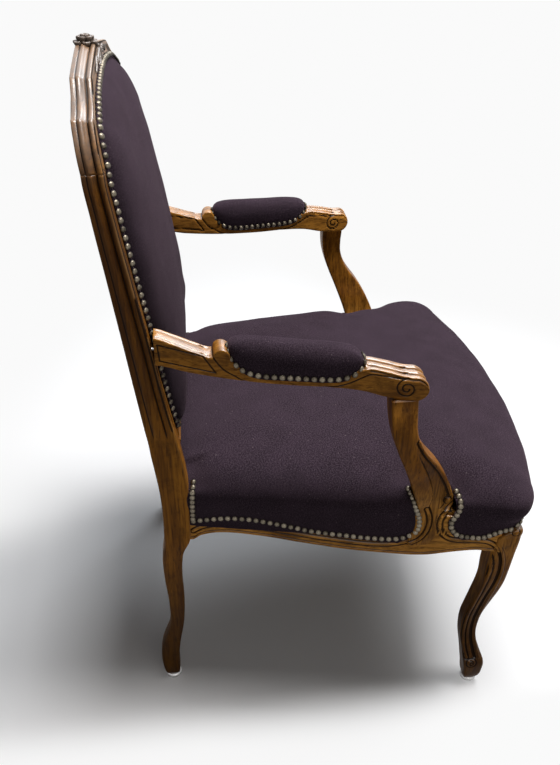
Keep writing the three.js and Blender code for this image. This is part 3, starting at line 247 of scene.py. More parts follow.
def note_hollows(mesh, spread=2):
    """Writes on each corner how far it faces up, and how deep it lies: -1 on an edge, 1 in a groove."""
    count = len(mesh.vertices)
    spots = np.empty(count * 3)
    mesh.vertices.foreach_get("co", spots)
    spots = spots.reshape(-1, 3) * 1000
    normals = np.empty(count * 3)
    mesh.vertices.foreach_get("normal", normals)
    normals = normals.reshape(-1, 3)
    pairs = np.empty(len(mesh.edges) * 2, np.int64)
    mesh.edges.foreach_get("vertices", pairs)
    a, b = pairs.reshape(-1, 2).T
    meets = np.maximum(1, np.bincount(a, minlength=count) + np.bincount(b, minlength=count))
    away = spots[b] - spots[a]
    length = np.maximum(1e-6, np.linalg.norm(away, axis=1))
    rise_a = np.einsum("ij,ij->i", away, normals[a]) / length ** 2
    rise_b = -np.einsum("ij,ij->i", away, normals[b]) / length ** 2
    hollow = (np.bincount(a, rise_a, count) + np.bincount(b, rise_b, count)) / meets
    for _ in range(spread):
        hollow = (hollow + (np.bincount(a, hollow[b], count) + np.bincount(b, hollow[a], count)) / meets) / 2
    hollow = np.tanh(hollow * 5)
    # The dark written while carving, partly dark finish and partly painted shade, joins the hollows.
    if "finish_and_shade" in mesh.attributes:
        finish_and_shade = np.empty(count)
        mesh.attributes["finish_and_shade"].data.foreach_get("value", finish_and_shade)
        hollow = np.maximum(hollow, finish_and_shade)
    for name, values in (("hollow", hollow), ("upward", np.ascontiguousarray(normals[:, 2]))):
        mesh.attributes.new(name, "FLOAT", "POINT").data.foreach_set("value", values)


def piece(name, bm, finish, replaced=(), hollows=False):
    """The finished mesh as an object on the chair."""
    bmesh.ops.transform(bm, matrix=TO_FRAME, verts=bm.verts)
    mesh = bpy.data.meshes.new(name)
    bm.to_mesh(mesh)
    bm.free()
    mesh.shade_smooth()
    mesh.materials.append(finish.material)
    if hollows:
        note_hollows(mesh)
    made = bpy.data.objects.new(name, mesh)
    bpy.context.scene.collection.objects.link(made)
    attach(made, "root")
    if replaced:
        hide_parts(*replaced)
    return made


def pair(name, bm, finish, replaced=(), hollows=False):
    """The piece on the chair's right, and its mirror image on the left."""
    other = bm.copy()
    bmesh.ops.transform(other, matrix=MIRROR, verts=other.verts)
    bmesh.ops.reverse_faces(other, faces=other.faces)
    return [piece(f"{name}_{side}", half, finish, [f"{node}_{side}" for node in replaced], hollows)
            for side, half in (("right", bm), ("left", other))]


# Finishes

class Value:
    """A shader's number or colour that can be reckoned with."""
    def __init__(self, nodes, socket):
        self.nodes, self.socket = nodes, socket

    def _maths(self, operation, first, second=0.0):
        return self.nodes.node("ShaderNodeMath", {"operation": operation}, {0: first, 1: second})

    def __add__(self, other):
        return self._maths("ADD", self, other)

    def __sub__(self, other):
        return self._maths("SUBTRACT", self, other)

    def __rsub__(self, other):
        return self._maths("SUBTRACT", other, self)

    def __mul__(self, other):
        return self._maths("MULTIPLY", self, other)

    __radd__, __rmul__ = __add__, __mul__

    def between(self, low, high):
        """0 below low, 1 above high, smooth from one to the other."""
        return self.nodes.node("ShaderNodeMapRange", {"interpolation_type": "SMOOTHSTEP"},
                               {"Value": self, "From Min": low, "From Max": high})

    def sine(self):
        return self._maths("SINE", self)


def paint(code):
    """A colour written as on screen, in the shader's own numbers."""
    parts = [int(code[i:i + 2], 16) / 255 for i in (1, 3, 5)]
    return (*[p / 12.92 if p <= 0.04045 else ((p + 0.055) / 1.055) ** 2.4 for p in parts], 1)


class Nodes:
    """The nodes of a material or of the world, and the shader that they feed."""
    def __init__(self, holder, shader):
        holder.use_nodes = True
        self.nodes, self.links = holder.node_tree.nodes, holder.node_tree.links
        self.shader = self.nodes[shader]

    def node(self, kind, settings=None, inputs=None, out=0):
        made = self.nodes.new(kind)
        for key, value in (settings or {}).items():
            setattr(made, key, value)
        for key, value in (inputs or {}).items():
            if isinstance(value, Value):
                self.links.new(value.socket, made.inputs[key])
            else:
                made.inputs[key].default_value = value
        return Value(self, made.outputs[out])

    def feed(self, socket, value):
        self.links.new(value.socket, self.shader.inputs[socket])


class Finish(Nodes):
    """A material and the nodes that make it."""
    def __init__(self, name, **constants):
        self.material = bpy.data.materials.new(name)
        super().__init__(self.material, "Principled BSDF")
        for socket, value in constants.items():
            self.shader.inputs[socket.replace("_", " ")].default_value = value

    def place(self, stretch=(1, 1, 1)):
        here = self.node("ShaderNodeTexCoord", out="Object")
        return self.node("ShaderNodeMapping", None, {"Vector": here, "Scale": stretch})

    def speckle(self, where, size, detail=3.0, rough=0.55, twist=0.0):
        return self.node("ShaderNodeTexNoise", None, {
            "Vector": where, "Scale": size, "Detail": detail, "Roughness": rough, "Distortion": twist})

    def mixed(self, share, first, second):
        return self.node("ShaderNodeMix", {"data_type": "RGBA"}, {0: share, 6: first, 7: second}, out=2)

    def part(self, where, axis):
        """One of the three numbers of a place."""
        return self.node("ShaderNodeSeparateXYZ", None, {0: where}, out=axis)

    def mark(self, name):
        return self.node("ShaderNodeAttribute", {"attribute_name": name}, out="Fac")

    def bump(self, height, strength, distance):
        return self.node("ShaderNodeBump", None, {"Height": height, "Strength": strength, "Distance": distance})


def show_wood(name, stretch, dust_and_sheen=0.0, golden=0.0, rail_highlight=0.0, deep=0.0):
    """Stained, waxed wood: streaks along the grain, hollows darkened partly by dark finish and partly by
    painted shade, rubbed edges, painted shade towards the floor, a painted grey sheen near the top.

    stretch is small along the grain. The shares say how grey the wood is, partly with dust and partly with
    painted sheen, how golden, how much light is painted on at the rails' height, and how much painted shade
    lies above the seat.
    """
    wood = Finish(name, Coat_Roughness=0.3, Coat_IOR=2.0, Specular_IOR_Level=0.045)
    grain = wood.place(stretch)
    cloud = wood.speckle(wood.place(), 9.0, 2.0)
    streak = wood.speckle(grain, 30.0, 5.0, 0.62, 0.6)
    fibre = wood.speckle(grain, 190.0, 3.0, 0.7)
    pores = wood.speckle(grain, 420.0, 2.0, 0.5).between(0.58, 0.7)
    grime = wood.speckle(wood.place(), 34.0, 4.0, 0.7).between(0.5, 0.7)
    hollow = wood.mark("hollow")
    height = wood.part(wood.place(), 2)
    tone = wood.mixed(streak.between(0.32, 0.68), paint("#6b4011"), paint("#b47829"))
    tone = wood.mixed(cloud.between(0.35, 0.68) * 0.5, tone, paint("#84500f"))
    # Lighter and more golden at the rails' height, by the share given: a painted highlight. The golden share
    # alone is the wood's own lighter tone.
    painted_light_at_rails = height.between(0.27, 0.33) * (1 - height.between(0.4, 0.47)) * rail_highlight
    tone = wood.mixed(cloud.between(0.15, 0.55) * (painted_light_at_rails + golden), tone, paint("#e0a04a"))
    tone = wood.mixed(fibre.between(0.4, 0.62) * 0.5, tone, paint("#3f2006"))
    tone = wood.mixed(grime * 0.4, tone, paint("#2c1504"))
    tone = wood.mixed(pores * 0.6, tone, paint("#241002"))
    edge_wear = (hollow * -1.0).between(0.15, 0.8) * 0.65 * cloud.between(0.3, 0.6)
    tone = wood.mixed(edge_wear, tone, paint("#cf9f66"))
    # Darker towards the floor: painted shade.
    tone = wood.mixed((1 - height.between(0.08, 0.32)) * 0.75, tone, paint("#241203"))
    # Darker between the seat and the crest, by the share deep: painted shade.
    painted_shade_above_seat = height.between(0.5, 0.62) * (1 - height.between(0.86, 0.91))
    tone = wood.mixed(painted_shade_above_seat * deep, tone, paint("#351b06"))
    # Greyer near the top, a painted sheen, and greyer all over by the share given, partly dust and partly
    # painted sheen.
    grey = height.between(0.865, 0.93) * 0.62 * cloud.between(0.1, 0.5) + dust_and_sheen
    tone = wood.mixed(grey, tone, paint("#6c645e"))
    # Nearly black in the hollows: partly dark finish gathered in them, partly painted shade.
    tone = wood.mixed(hollow.between(0.05, 0.45) * 0.92, tone, paint("#120803"))
    wood.feed("Base Color", tone)
    wood.feed("Roughness", 0.36 + streak * 0.1 + hollow.between(0.1, 0.7) * 0.35 - cloud * 0.06)
    wood.feed("Coat Weight", 0.02 + wood.mark("upward").between(0.5, 0.95) * 0.85)
    wood.feed("Normal", wood.bump(fibre * 0.5 + streak * 0.5 - pores * 0.7, 0.22, 0.0004))
    return wood


def woollen(name, sheen, shade=0.0):
    """Dark aubergine wool, plainly woven, with a little fluff; shade paints it darker downwards, a painted
    shade.
    """
    cloth = Finish(name, Sheen_Weight=sheen, Sheen_Roughness=0.4, Specular_IOR_Level=0.04)
    cloth.shader.inputs["Sheen Tint"].default_value = paint("#c9a9bb")
    laid = cloth.node("ShaderNodeUVMap", {"uv_map": "weave"})
    threads = 2 * math.pi / 0.0016
    warp, weft = [(cloth.part(laid, axis) * threads).sine() for axis in (0, 1)]
    weave = warp * weft * 0.5 + 0.5
    slub = cloth.speckle(laid, 640.0, 2.0, 0.7)
    cloud = cloth.speckle(laid, 22.0, 4.0, 0.6)
    haze = cloth.speckle(laid, 380.0, 2.0, 0.6)
    lint = cloth.speckle(laid, 330.0, 1.0, 0.4).between(0.735, 0.77)
    tone = cloth.mixed(cloud.between(0.3, 0.7), paint("#2b222a"), paint("#352a34"))
    tone = cloth.mixed(weave * 0.4, tone, paint("#150f14"))
    tone = cloth.mixed(haze.between(0.52, 0.36) * 0.25, tone, paint("#120d11"))
    nap = slub.between(0.46, 0.64) * 0.5 + haze.between(0.5, 0.66) * 0.15
    tone = cloth.mixed(nap, tone, paint("#5a4c56"))
    tone = cloth.mixed(lint * 0.5, tone, paint("#857579"))
    if shade:
        # Darker towards the bottom of the back's pad: painted shade.
        tone = cloth.mixed(cloth.part(cloth.place(), 2).between(1.0, 0.55) * shade, tone, paint("#0c080b"))
    cloth.feed("Base Color", tone)
    cloth.feed("Roughness", 0.86 + slub * 0.14)
    cloth.feed("Normal", cloth.bump(weave * 0.6 + slub * 0.9 + haze * 0.3, 0.7, 0.0006))
    return cloth


def old_brass(name):
    """Bronzed nail heads with dark specks, lighter up the dome as a painted highlight and darker at the rim as
    painted shade, each a little different.
    """
    brass = Finish(name, Metallic=1.0)
    tint = brass.mark("tone")
    spots = brass.speckle(brass.place(), 700.0, 3.0, 0.6)
    tone = brass.mixed(tint.between(0.0, 1.0), paint("#1f1a13"), paint("#787062"))
    tone = brass.mixed(spots.between(0.45, 0.68) * 0.6, tone, paint("#1f1a13"))
    brass.feed("Base Color", tone)
    brass.feed("Roughness", 0.28 + spots * 0.2 + (1 - tint) * 0.12)
    brass.feed("Normal", brass.bump(spots, 0.25, 0.0003))
    return brass


def plain_finish(name, dark, light, size, rough, stretch=(1, 1, 1), raised=0.3, **constants):
    """Two tones blended by a speckle, for what hardly shows."""
    made = Finish(name, **constants)
    spots = made.speckle(made.place(stretch), size, 4.0, 0.6)
    made.feed("Base Color", made.mixed(spots.between(0.3, 0.7), paint(dark), paint(light)))
    made.feed("Roughness", rough + spots * 0.12)
    made.feed("Normal", made.bump(spots, raised, 0.0004))
    return made


wood_stile = show_wood("waxed wood of the stiles", (1, 1, 0.06), golden=0.05, deep=0.6)
wood_leg = show_wood("waxed wood of the legs", (1, 1, 0.06), golden=0.05, rail_highlight=0.3)
wood_support = show_wood("waxed wood of the supports", (1, 1, 0.06), rail_highlight=0.7)
wood_arm = show_wood("waxed wood of the arms", (1, 0.06, 1), golden=0.3)
wood_crosswise = show_wood("waxed wood, grain across", (0.06, 1, 1), golden=0.1)
wood_rail = show_wood("waxed wood of the rails", (1, 0.06, 1), golden=0.1, rail_highlight=0.9)
# The carved flower is greyer: partly dust, partly painted sheen.
wood_dust_and_sheen = show_wood("worn carving", (0.06, 1, 1), dust_and_sheen=0.3)
wool = woollen("aubergine wool", 0.2)
wool_shaded_low = woollen("aubergine wool, painted shade low down", 0.12, 0.8)
brass = old_brass("bronzed nails")
glide_white = plain_finish("white glides", "#f0f0ee", "#fafafa", 300.0, 0.22, raised=0.05, Coat_Weight=1.0,
                           Coat_IOR=1.9, Specular_IOR_Level=1.0, Metallic=0.25)
cambric = plain_finish("black cambric", "#161618", "#26262a", 1500.0, 0.85)
jute = plain_finish("jute", "#8f7648", "#bfa677", 900.0, 0.85)
raw_beech = plain_finish("raw beech", "#9c774b", "#c19a68", 90.0, 0.6, (1, 0.1, 1))
blued_steel = plain_finish("spring steel", "#5f564b", "#8c8071", 250.0, 0.3, Metallic=0.9)
zinc_steel = plain_finish("screw steel", "#7e8185", "#a4a7aa", 400.0, 0.28, Metallic=0.95)


# The frame's own lines. They are those of its solids, but for the lowest end of the feet.

POST_TALL, RAIL_TOP, FOOT_END = 890, 385, 8.6
POST_X, POST_SPREAD, POST_HALF_WIDE = 222, 12, 18.5
POST_Y, POST_RAKE, POST_HALF_DEEP = 229.5, 67.5, 22.25
REAR_Y, FRONT_Y, FRONT_BOW, FOOT_X = 243, -287, 38, 290
FLANK_REAR, FLANK_FRONT, REAR_HALF, FRONT_HALF = 208, -245, 245, 319
SIDE_LOW, SIDE_SWEEP, FRONT_LOW, FRONT_SWEEP = 306, 28, 310, 24
# Height up the post, then shares: back, deep, out, wide
post_line = follow([
    [0.0095, 0.37, 0.39, 0.38, 0.48], [0.0125, 0.38, 0.5, 0.38, 0.61], [0.019, 0.39, 0.58, 0.38, 0.69],
    [0.062, 0.41, 0.68, 0.38, 0.76], [0.096, 0.35, 0.66, 0.38, 0.74], [0.143, 0.19, 0.52, 0.38, 0.63],
    [0.194, 0.15, 0.56, 0.40, 0.66], [0.257, 0.18, 0.64, 0.44, 0.72], [0.301, 0.17, 0.70, 0.52, 0.80],
    [0.326, 0.13, 0.75, 0.60, 0.86], [0.351, 0.03, 0.90, 0.67, 0.91], [0.393, 0.00, 0.93, 0.67, 0.92],
    [0.456, 0.00, 0.98, 0.70, 0.94], [0.499, 0.05, 1.00, 0.71, 0.95], [0.539, 0.12, 0.98, 0.73, 0.96],
    [0.579, 0.19, 0.92, 0.76, 0.98], [0.618, 0.27, 0.865, 0.80, 1.00], [0.674, 0.38, 0.81, 0.88, 1.00],
    [0.742, 0.50, 0.775, 1.00, 1.00], [0.854, 0.72, 0.685, 0.95, 1.00], [0.944, 0.90, 0.63, 0.67, 1.00],
    [1.000, 1.00, 0.62, 0.05, 1.00],
])


def post_at(z):
    """Middle, depth and width of a back post at a height: x, y, half width, half depth."""
    back, deep, out, wide = post_line(z / POST_TALL)
    return POST_X + out * POST_SPREAD, POST_Y + back * POST_RAKE, wide * POST_HALF_WIDE, deep * POST_HALF_DEEP


def back_front(z):
    """Front face of the frame of the back."""
    return back_rear(z) - 2 * post_at(POST_TALL)[3] if z > POST_TALL else post_at(z)[1] - post_at(z)[3]


def back_rear(z):
    x, y, half_wide, half_deep = post_at(min(z, POST_TALL))
    return y + half_deep + 0.15 * max(0, z - POST_TALL)


def flank_share(y):
    """How far forward a place lies along a side rail, from 0 at the rear to 1 at the front."""
    return (FLANK_REAR - y) / (FLANK_REAR - FLANK_FRONT)


def rail_x(y):
    """Outer face of a side rail."""
    return lerp(REAR_HALF, FRONT_HALF, flank_share(y))


side_edge = follow([
    [0, 0.42], [0.03, 0.74], [0.09, 1], [0.22, 0.9], [0.36, 0.54], [0.5, 0.21], [0.63, 0.04],
    [0.77, 0], [0.87, 0.32], [0.94, 0.5], [1, 0.45],
])
front_edge = follow([[0, 0.35], [0.12, 0.6], [0.3, 1], [0.5, 0.86], [0.75, 0.3], [1, 0]])
BLOCK_INNER = 275.25


def side_low(y):
    return SIDE_LOW + SIDE_SWEEP * side_edge(flank_share(y))[0]


def front_low(x):
    return FRONT_LOW + FRONT_SWEEP * front_edge(1 - min(1, abs(x) / BLOCK_INNER))[0]


def front_y(x):
    return FRONT_Y - FRONT_BOW * (1 - (x / FOOT_X) ** 2)


# Frame of the back: stiles and rear legs, crest and bottom rail

# The moulded frame's section. Its outer side is (share from the rear to the front, relief outward) and its
# front (share from the outer to the inner face, relief forward). The whole section has both of each.
OUTER_RELIEF = [
    (0.05, 0), (0.10, 0.1), (0.16, 0.1), (0.21, -0.1), (0.235, -0.8), (0.26, -0.7), (0.29, 0.3),
    (0.33, 1.2), (0.38, 1.9), (0.43, 1.9), (0.48, 1.3), (0.52, 0.4), (0.56, -0.6), (0.61, -1.5),
    (0.655, -2.2), (0.675, -4.0), (0.715, -4.3), (0.74, -2.0), (0.78, -0.6), (0.83, 0.2), (0.89, 0.3),
    (0.94, -0.3), (0.975, -1.2),
]
FRONT_RELIEF = [
    (0.03, -0.9), (0.08, 0.2), (0.13, 0.5), (0.18, 0.0), (0.215, -1.3), (0.245, -1.9), (0.29, -2.3),
    (0.35, -1.9), (0.41, -1.0), (0.44, -0.2), (0.5, 0), (0.62, 0), (0.8, 0), (0.94, 0),
]
FRAME_SECTION = [
    (0.015, 0.015, 0, 0), *((0, ahead, relief, 0) for ahead, relief in OUTER_RELIEF),
    *((across, 1, 0, relief) for across, relief in FRONT_RELIEF), (0.985, 0.985, 0, 0),
    *((1, ahead, 0, 0) for ahead in (0.93, 0.75, 0.5, 0.25, 0.07)), (0.985, 0.015, 0, 0),
    *((across, 0, 0, 0) for across in (0.94, 0.75, 0.5, 0.25, 0.06)),
]


def frame_ring(outer, inner, out, rear, deep, share=1.0, ease=0.0):
    """One ring of the moulded frame between its outer and inner lines, given as (x, z)."""
    ring = []
    for across, ahead, outward, forward in FRAME_SECTION:
        u, w = 2 * across - 1, 2 * ahead - 1
        pull = 1 if ease == 0 else lerp(1, (abs(u) ** 5 + abs(w) ** 5) ** -0.2, ease)
        across, ahead = (u * pull + 1) / 2, (w * pull + 1) / 2
        ring.append(Vector((
            lerp(outer[0], inner[0], across) + out[0] * outward * share,
            rear - ahead * deep - forward * share,
            lerp(outer[1], inner[1], across) + out[1] * outward * share,
        )))
    return ring


def post_ring(z):
    x, y, half_wide, half_deep = post_at(z)
    moulded = smooth(506, 528, z)
    ease = 0.9 * (1 - smooth(300, 345, z)) + 0.5 * smooth(330, 345, z) * (1 - smooth(500, 530, z))
    return frame_ring((-x - half_wide, z), (-x + half_wide, z), (-1, 0), y + half_deep, 2 * half_deep,
                      moulded, ease)


pair("back_stile_and_leg", tube([post_ring(z) for z in steps(280, FOOT_END, POST_TALL)]),
     wood_stile, ["back_post"], hollows=True)


CREST_HALF, CREST_TALL, CREST_INNER_TALL, CREST_JOINT = 241, 107, 62, 0.3


def crest_lines():
    """Outer and inner line of the crest with the way out, from its right joint to its left."""
    outer_share = spline([(1, 0), (0.985, 0.14), (0.945, 0.3), (0.86, 0.52)], 10)
    shoulder, kink = (0.86, 0.52), (0.55, 0.83)
    hollow = arch(shoulder, (0.71, 0.56), kink, 14)[1:]
    top = arch(kink, (0.3, 0.928), (0, 1), 30)[1:]

    def run(shares, lift=0.0):
        return spaced([(x * CREST_HALF, POST_TALL + lift + z * CREST_TALL) for x, z in shares], 3)
    half = run(outer_share, CREST_JOINT) + run([outer_share[-1], *hollow])[1:] + run([hollow[-1], *top])[1:]
    inner_line = spline([(0.848, 0), (0.83, 0.25), (0.76, 0.55), (0.6, 0.8), (0.3, 0.96), (0, 1)], 10)
    inner = spaced([(x * CREST_HALF, POST_TALL + CREST_JOINT + z * CREST_INNER_TALL) for x, z in inner_line],
                   count=len(half))
    outer = [(-x, z) for x, z in half] + [(x, z) for x, z in half[-2::-1]]
    inner = [(-x, z) for x, z in inner] + [(x, z) for x, z in inner[-2::-1]]
    out = []
    for i in range(len(outer)):
        (ax, az), (bx, bz) = outer[max(0, i - 1)], outer[min(len(outer) - 1, i + 1)]
        out.append(Vector((az - bz, bx - ax)).normalized())
    return outer, inner, out


def crest_shape():
    deep = 2 * post_at(POST_TALL)[3]
    rings = []
    for outer, inner, out in zip(*crest_lines()):
        ring = frame_ring(outer, inner, out, 0, deep)
        for spot in ring:
            spot.y += back_rear(spot.z)
        rings.append(ring)
    return tube(rings)


piece("crest", crest_shape(), wood_crosswise, ["crest_rail"], hollows=True)


def petal(bm, place, tilt, turn, long, wide, thick):
    """One cupped petal of the carved flower, pointing away from the middle."""
    finish_and_shade = finish_and_shade_of(bm)
    made = bmesh.ops.create_uvsphere(bm, u_segments=16, v_segments=10, radius=1)["verts"]
    for v in made:
        x, y, z = v.co
        # Darker under each petal and towards the middle, where the petals overlap: painted shade.
        v[finish_and_shade] = 0.34 * smooth(0.35, -0.5, x) + 0.2 * smooth(0, -0.6, z)
        v.co = (long * (0.5 + 0.5 * x), wide * y * (1 - 0.35 * abs(y)) * (0.75 + 0.35 * x),
                thick * z + 0.9 * y * y * thick + 0.5 * thick * x * x)
    turned = Matrix.Translation(place) @ Matrix.Rotation(turn, 4, "Z") @ Matrix.Rotation(tilt, 4, "Y")
    bmesh.ops.transform(bm, matrix=turned, verts=made)


def leaf(bm, points, wide, thick):
    """A carved leaf along a line of places on the front of the crest, with a sunk rib and a notched edge."""
    line = [Vector(p) for p in spaced(points, count=26)]
    rows = []
    for i, spot in enumerate(line):
        t = i / (len(line) - 1)
        way = (line[min(25, i + 1)] - line[max(0, i - 1)]).normalized()
        side = way.cross(Vector((0, -1, 0))).normalized()
        taper, notches = math.sin(math.pi * min(1, t * 0.92 + 0.08)) ** 0.6, 1 - 0.22 * abs(math.sin(t * 12))
        half = wide / 2 * taper * notches
        row = []
        for k in range(13):
            c = k / 6 - 1
            rib, tip = 1 - 0.55 * math.exp(-(c / 0.16) ** 2), min(1, 4 * (1 - t) + 0.15)
            swell = thick * (1 - c * c) ** 0.5 * rib * tip
            row.append(spot + side * half * c + Vector((0, -swell, 0)))
        row += [spot + side * half * (1 - k / 3) + Vector((0, 1.5, 0)) for k in range(1, 6)]
        rows.append(row)
    made = tube(rows)
    mesh = bpy.data.meshes.new("leaf")
    made.to_mesh(mesh)
    bm.from_mesh(mesh)
    bpy.data.meshes.remove(mesh)


def crest_carving():
    """Flower on top of the crest, with a spray of leaves down its front."""
    bm = bmesh.new()
    top = POST_TALL + CREST_TALL
    middle = Vector((0, back_rear(top) - 13.5, top - 0.5))
    for count, up, tilt, turn, size in (
        (6, -2.5, -0.12, 0.2, (18, 9.6, 4.2)), (6, 0.5, -0.48, 0.7, (14.5, 8, 3.6)),
        (5, 2.5, -0.85, 0, (10.5, 6.2, 3.2)),
    ):
        for i in range(count):
            petal(bm, middle + Vector((0, 0, up)), tilt, i / count * math.tau + turn, *size)
    bud = bmesh.ops.create_uvsphere(bm, u_segments=14, v_segments=10, radius=5)["verts"]
    bmesh.ops.transform(bm, matrix=Matrix.Translation(middle + Vector((0, 0, 6))), verts=bud)

    def leaf_on_front(places, wide, thick):
        leaf(bm, [(x, back_front(z) - 0.6, z) for x, z in places], wide, thick)
    for side in (-1, 1):
        for places, wide, thick in (
            ([(3, 990), (14, 985), (30, 984), (46, 979)], 9, 3.4),
            ([(3, 984), (12, 976), (24, 973), (34, 975)], 8, 3),
            ([(36, 986), (52, 985), (66, 978), (76, 973)], 6, 2.4),
        ):
            leaf_on_front([(side * x, z) for x, z in places], wide, thick)
    leaf_on_front([(0, 995), (0, 988), (0, 978), (0, 970)], 11, 4)
    return bm


piece("crest_flower", crest_carving(), wood_dust_and_sheen, hollows=True)


BAR_LOW, BAR_HIGH = 478, 518
BAR_MOULDING = [(3, 0), (6, 1), (8, 0), (9.5, -1.4), (11, -1.6), (12.5, 0), (15, 0)]


def back_bottom_ring(x):
    corners = [Vector((x, face(z), z)) for face, z in (
        (back_front, BAR_LOW), (back_front, BAR_HIGH), (back_rear, BAR_HIGH), (back_rear, BAR_LOW))]
    return eased(corners, 3.5, [22, 6, 8, 6])


def bottom_rail_shape():
    half = post_at(500)[0] - post_at(500)[2] - 0.3
    bm = tube([back_bottom_ring(x) for x in steps(60, -half, half)])

    def relief(_row, _line, spot):
        return np.interp(spot.z - BAR_LOW, *zip(*BAR_MOULDING)) if spot.y < back_front(spot.z) + 1.5 else 0
    emboss(bm, relief)
    return bm


piece("back_bottom_bar", bottom_rail_shape(), wood_crosswise, ["back_bottom_rail"], hollows=True)


# Mouldings that run over rails, supports and legs, as (y, z) on the outer side

REAR_MOULDING = spline([
    (206, 336), (190, 346), (165, 352), (134, 352), (105, 348), (75, 343), (45, 338), (15, 333),
    (-16, 329), (-46, 325.5), (-76, 324.5), (-96, 327), (-111.4, 331.4), (-128.5, 339.3), (-139.1, 352.8),
    (-143.4, 368.7), (-142.7, 384.1), (-136.9, 400.8),
], 4)
FRONT_GROOVE = spline([
    (-177.4, 403), (-168.4, 393.1), (-161, 381.2), (-159.7, 365.6), (-164, 352.2), (-175.4, 341.9),
    (-191.9, 338.8), (-218.8, 339.5), (-235.2, 337.4), (-247.7, 328.4), (-257.3, 305.2), (-260.1, 276.9),
    (-257.9, 247.3), (-252.4, 211.5), (-247.6, 170.7), (-244.9, 134.4), (-245.8, 100.7), (-250.4, 74.4),
    (-254, 62),
], 4)
FRONT_BEAD = spline([
    (-239.2, 340.6), (-250.7, 331.3), (-260.4, 309.4), (-265, 276.4), (-263.3, 244.1), (-258.8, 204.8),
    (-254, 164), (-251.7, 128.7), (-252.8, 98.2), (-257.3, 73.7), (-261, 62),
], 4)
LEG_BEAD = spline([
    (-160, 314), (-182, 325), (-205.1, 330.3), (-223.6, 325.4), (-235.5, 318), (-243.3, 299.8), (-246, 276.1),
    (-242.9, 241.3), (-238.6, 198.8), (-233.8, 155.2), (-232.9, 116), (-234.4, 85.1), (-239.3, 63),
], 4)
# Edge between a support's plain face and its sunk front, down to the tip of the leaf that the face ends in
LEAF_EDGE = spline([
    (-97, 562), (-97.4, 545.7), (-102.7, 527.9), (-110.6, 508.9), (-118.2, 493), (-126.5, 475.8),
    (-135, 453.5), (-139.8, 436.1), (-139.6, 418.5), (-136.9, 400.8),
], 4)
SUPPORT_BEAD = spline([
    (-100.8, 575.8), (-103.2, 558.1), (-108.5, 537.9), (-121.1, 513.7), (-136.8, 491.4), (-150.5, 469.2),
    (-163.7, 442.3), (-172, 422),
], 4)


# Seat rails

# Relief up from the lower edge of a rail, then the plain height above it
RAIL_EDGE = [(0.0, -2.2), (0.7, -1.0), (1.8, -0.1), (3.2, 0.4), (4.4, 0.1), (5.2, -0.9), (5.8, -1.6),
             (6.5, -0.8), (7.4, 0.0), (9, 0.1)]


def rail_ring(low, place):
    """Ring of a moulded rail: its reliefs outward and its heights are laid out by the rule place(out, z)."""
    ring = [place(relief, low + rise) for rise, relief in RAIL_EDGE]
    start = low + 10
    ring += [place(0, z) for z in steps(26, start, start + 26)]
    ring += [place(0, z) for z in steps(6, start + 29, RAIL_TOP - 1)]
    ring += [*(place(-deep, RAIL_TOP) for deep in (1, 8, 16, 24)), place(-30, RAIL_TOP - 1)]
    ring += [place(-30, z) for z in steps(6, RAIL_TOP - 8, low + 3)]
    ring += [place(-28.5, low + 0.6), place(-22, low), place(-14, low), place(-6, low)]
    return ring


def side_rail_shape():
    rings = []
    for y in steps(300, 212, -252):
        rings.append(rail_ring(side_low(y), lambda out, z, y=y: Vector((-rail_x(y) - out, y, z))))
    bm = tube(rings)
    carve(bm, REAR_MOULDING, BEAD)
    carve(bm, FRONT_GROOVE, BEAD)
    return bm


def front_rail_shape():
    rings = []
    for x in steps(160, -BLOCK_INNER - 6, BLOCK_INNER + 6):
        rings.append(rail_ring(front_low(x), lambda out, z, x=x: Vector((x, front_y(x) - out, z))))
    bm = tube(rings)
    bead = [(17 - d, r) for d, r in reversed(BEAD)] + [(17 + d, r) for d, r in BEAD[1:]]

    def relief(_row, _line, spot):
        return 0 if spot.y > front_y(spot.x) + 2.5 else np.interp(spot.z - front_low(spot.x), *zip(*bead))
    emboss(bm, relief)
    return bm


def rear_rail_shape():
    half = post_at(350)[0] - post_at(350)[2] + 1
    rings = []
    for x in steps(50, -half, half):
        corners = [Vector((x, y, z)) for y, z in (
            (REAR_Y, 318), (REAR_Y, RAIL_TOP), (REAR_Y - 30, RAIL_TOP), (REAR_Y - 30, 318))]
        rings.append(eased(corners, 2.5, [12, 6, 8, 6]))
    return tube(rings)


pair("side_rail", side_rail_shape(), wood_rail, ["side_seat_rail"], hollows=True)
piece("front_rail", front_rail_shape(), wood_crosswise, ["front_seat_rail"], hollows=True)
piece("rear_rail", rear_rail_shape(), wood_crosswise, ["rear_seat_rail"], hollows=True)


# Front legs

LEG_X, LEG_Y, LEG_SPREAD, LEG_HALF = -290, -257, 15.5, 22.5
# Share of the height, then outward and width
leg_line = follow([
    [0.016, -0.26, 0.46], [0.045, -0.2, 0.62], [0.09, -0.17, 0.72], [0.135, -0.25, 0.77], [0.19, -0.58, 0.66],
    [0.27, -1, 0.56], [0.365, -0.97, 0.6], [0.435, -0.7, 0.64], [0.5, -0.4, 0.69], [0.63, 0.17, 0.82],
    [0.715, 0.34, 0.93], [0.8, 0.52, 0.98], [0.9, 0.71, 1], [0.945, 0.68, 0.98], [0.955, 0.5, 0.86],
    [1, 0.5, 0.84],
])


def leg_ring(z):
    out, wide = leg_line(z / RAIL_TOP)
    half = wide * LEG_HALF
    x, y = LEG_X - out * LEG_SPREAD, LEG_Y - out * LEG_SPREAD
    corners = [Vector((x + a * half, y + b * half, z)) for a, b in ((-1, 1), (-1, -1), (1, -1), (1, 1))]
    return eased(corners, half * 0.42, [26, 18, 8, 10], 9)


def curl(y, z, start, turns, way=1, turn_from=0.0, least=1.5):
    """A spiral drawn on the outer side, from its widest turn inward."""
    line = []
    for t in steps(int(40 * turns)):
        angle = turn_from + way * t * turns * math.tau
        radius = lerp(start, least, t ** 0.8)
        line.append((y + radius * math.cos(angle), z + radius * math.sin(angle)))
    return line


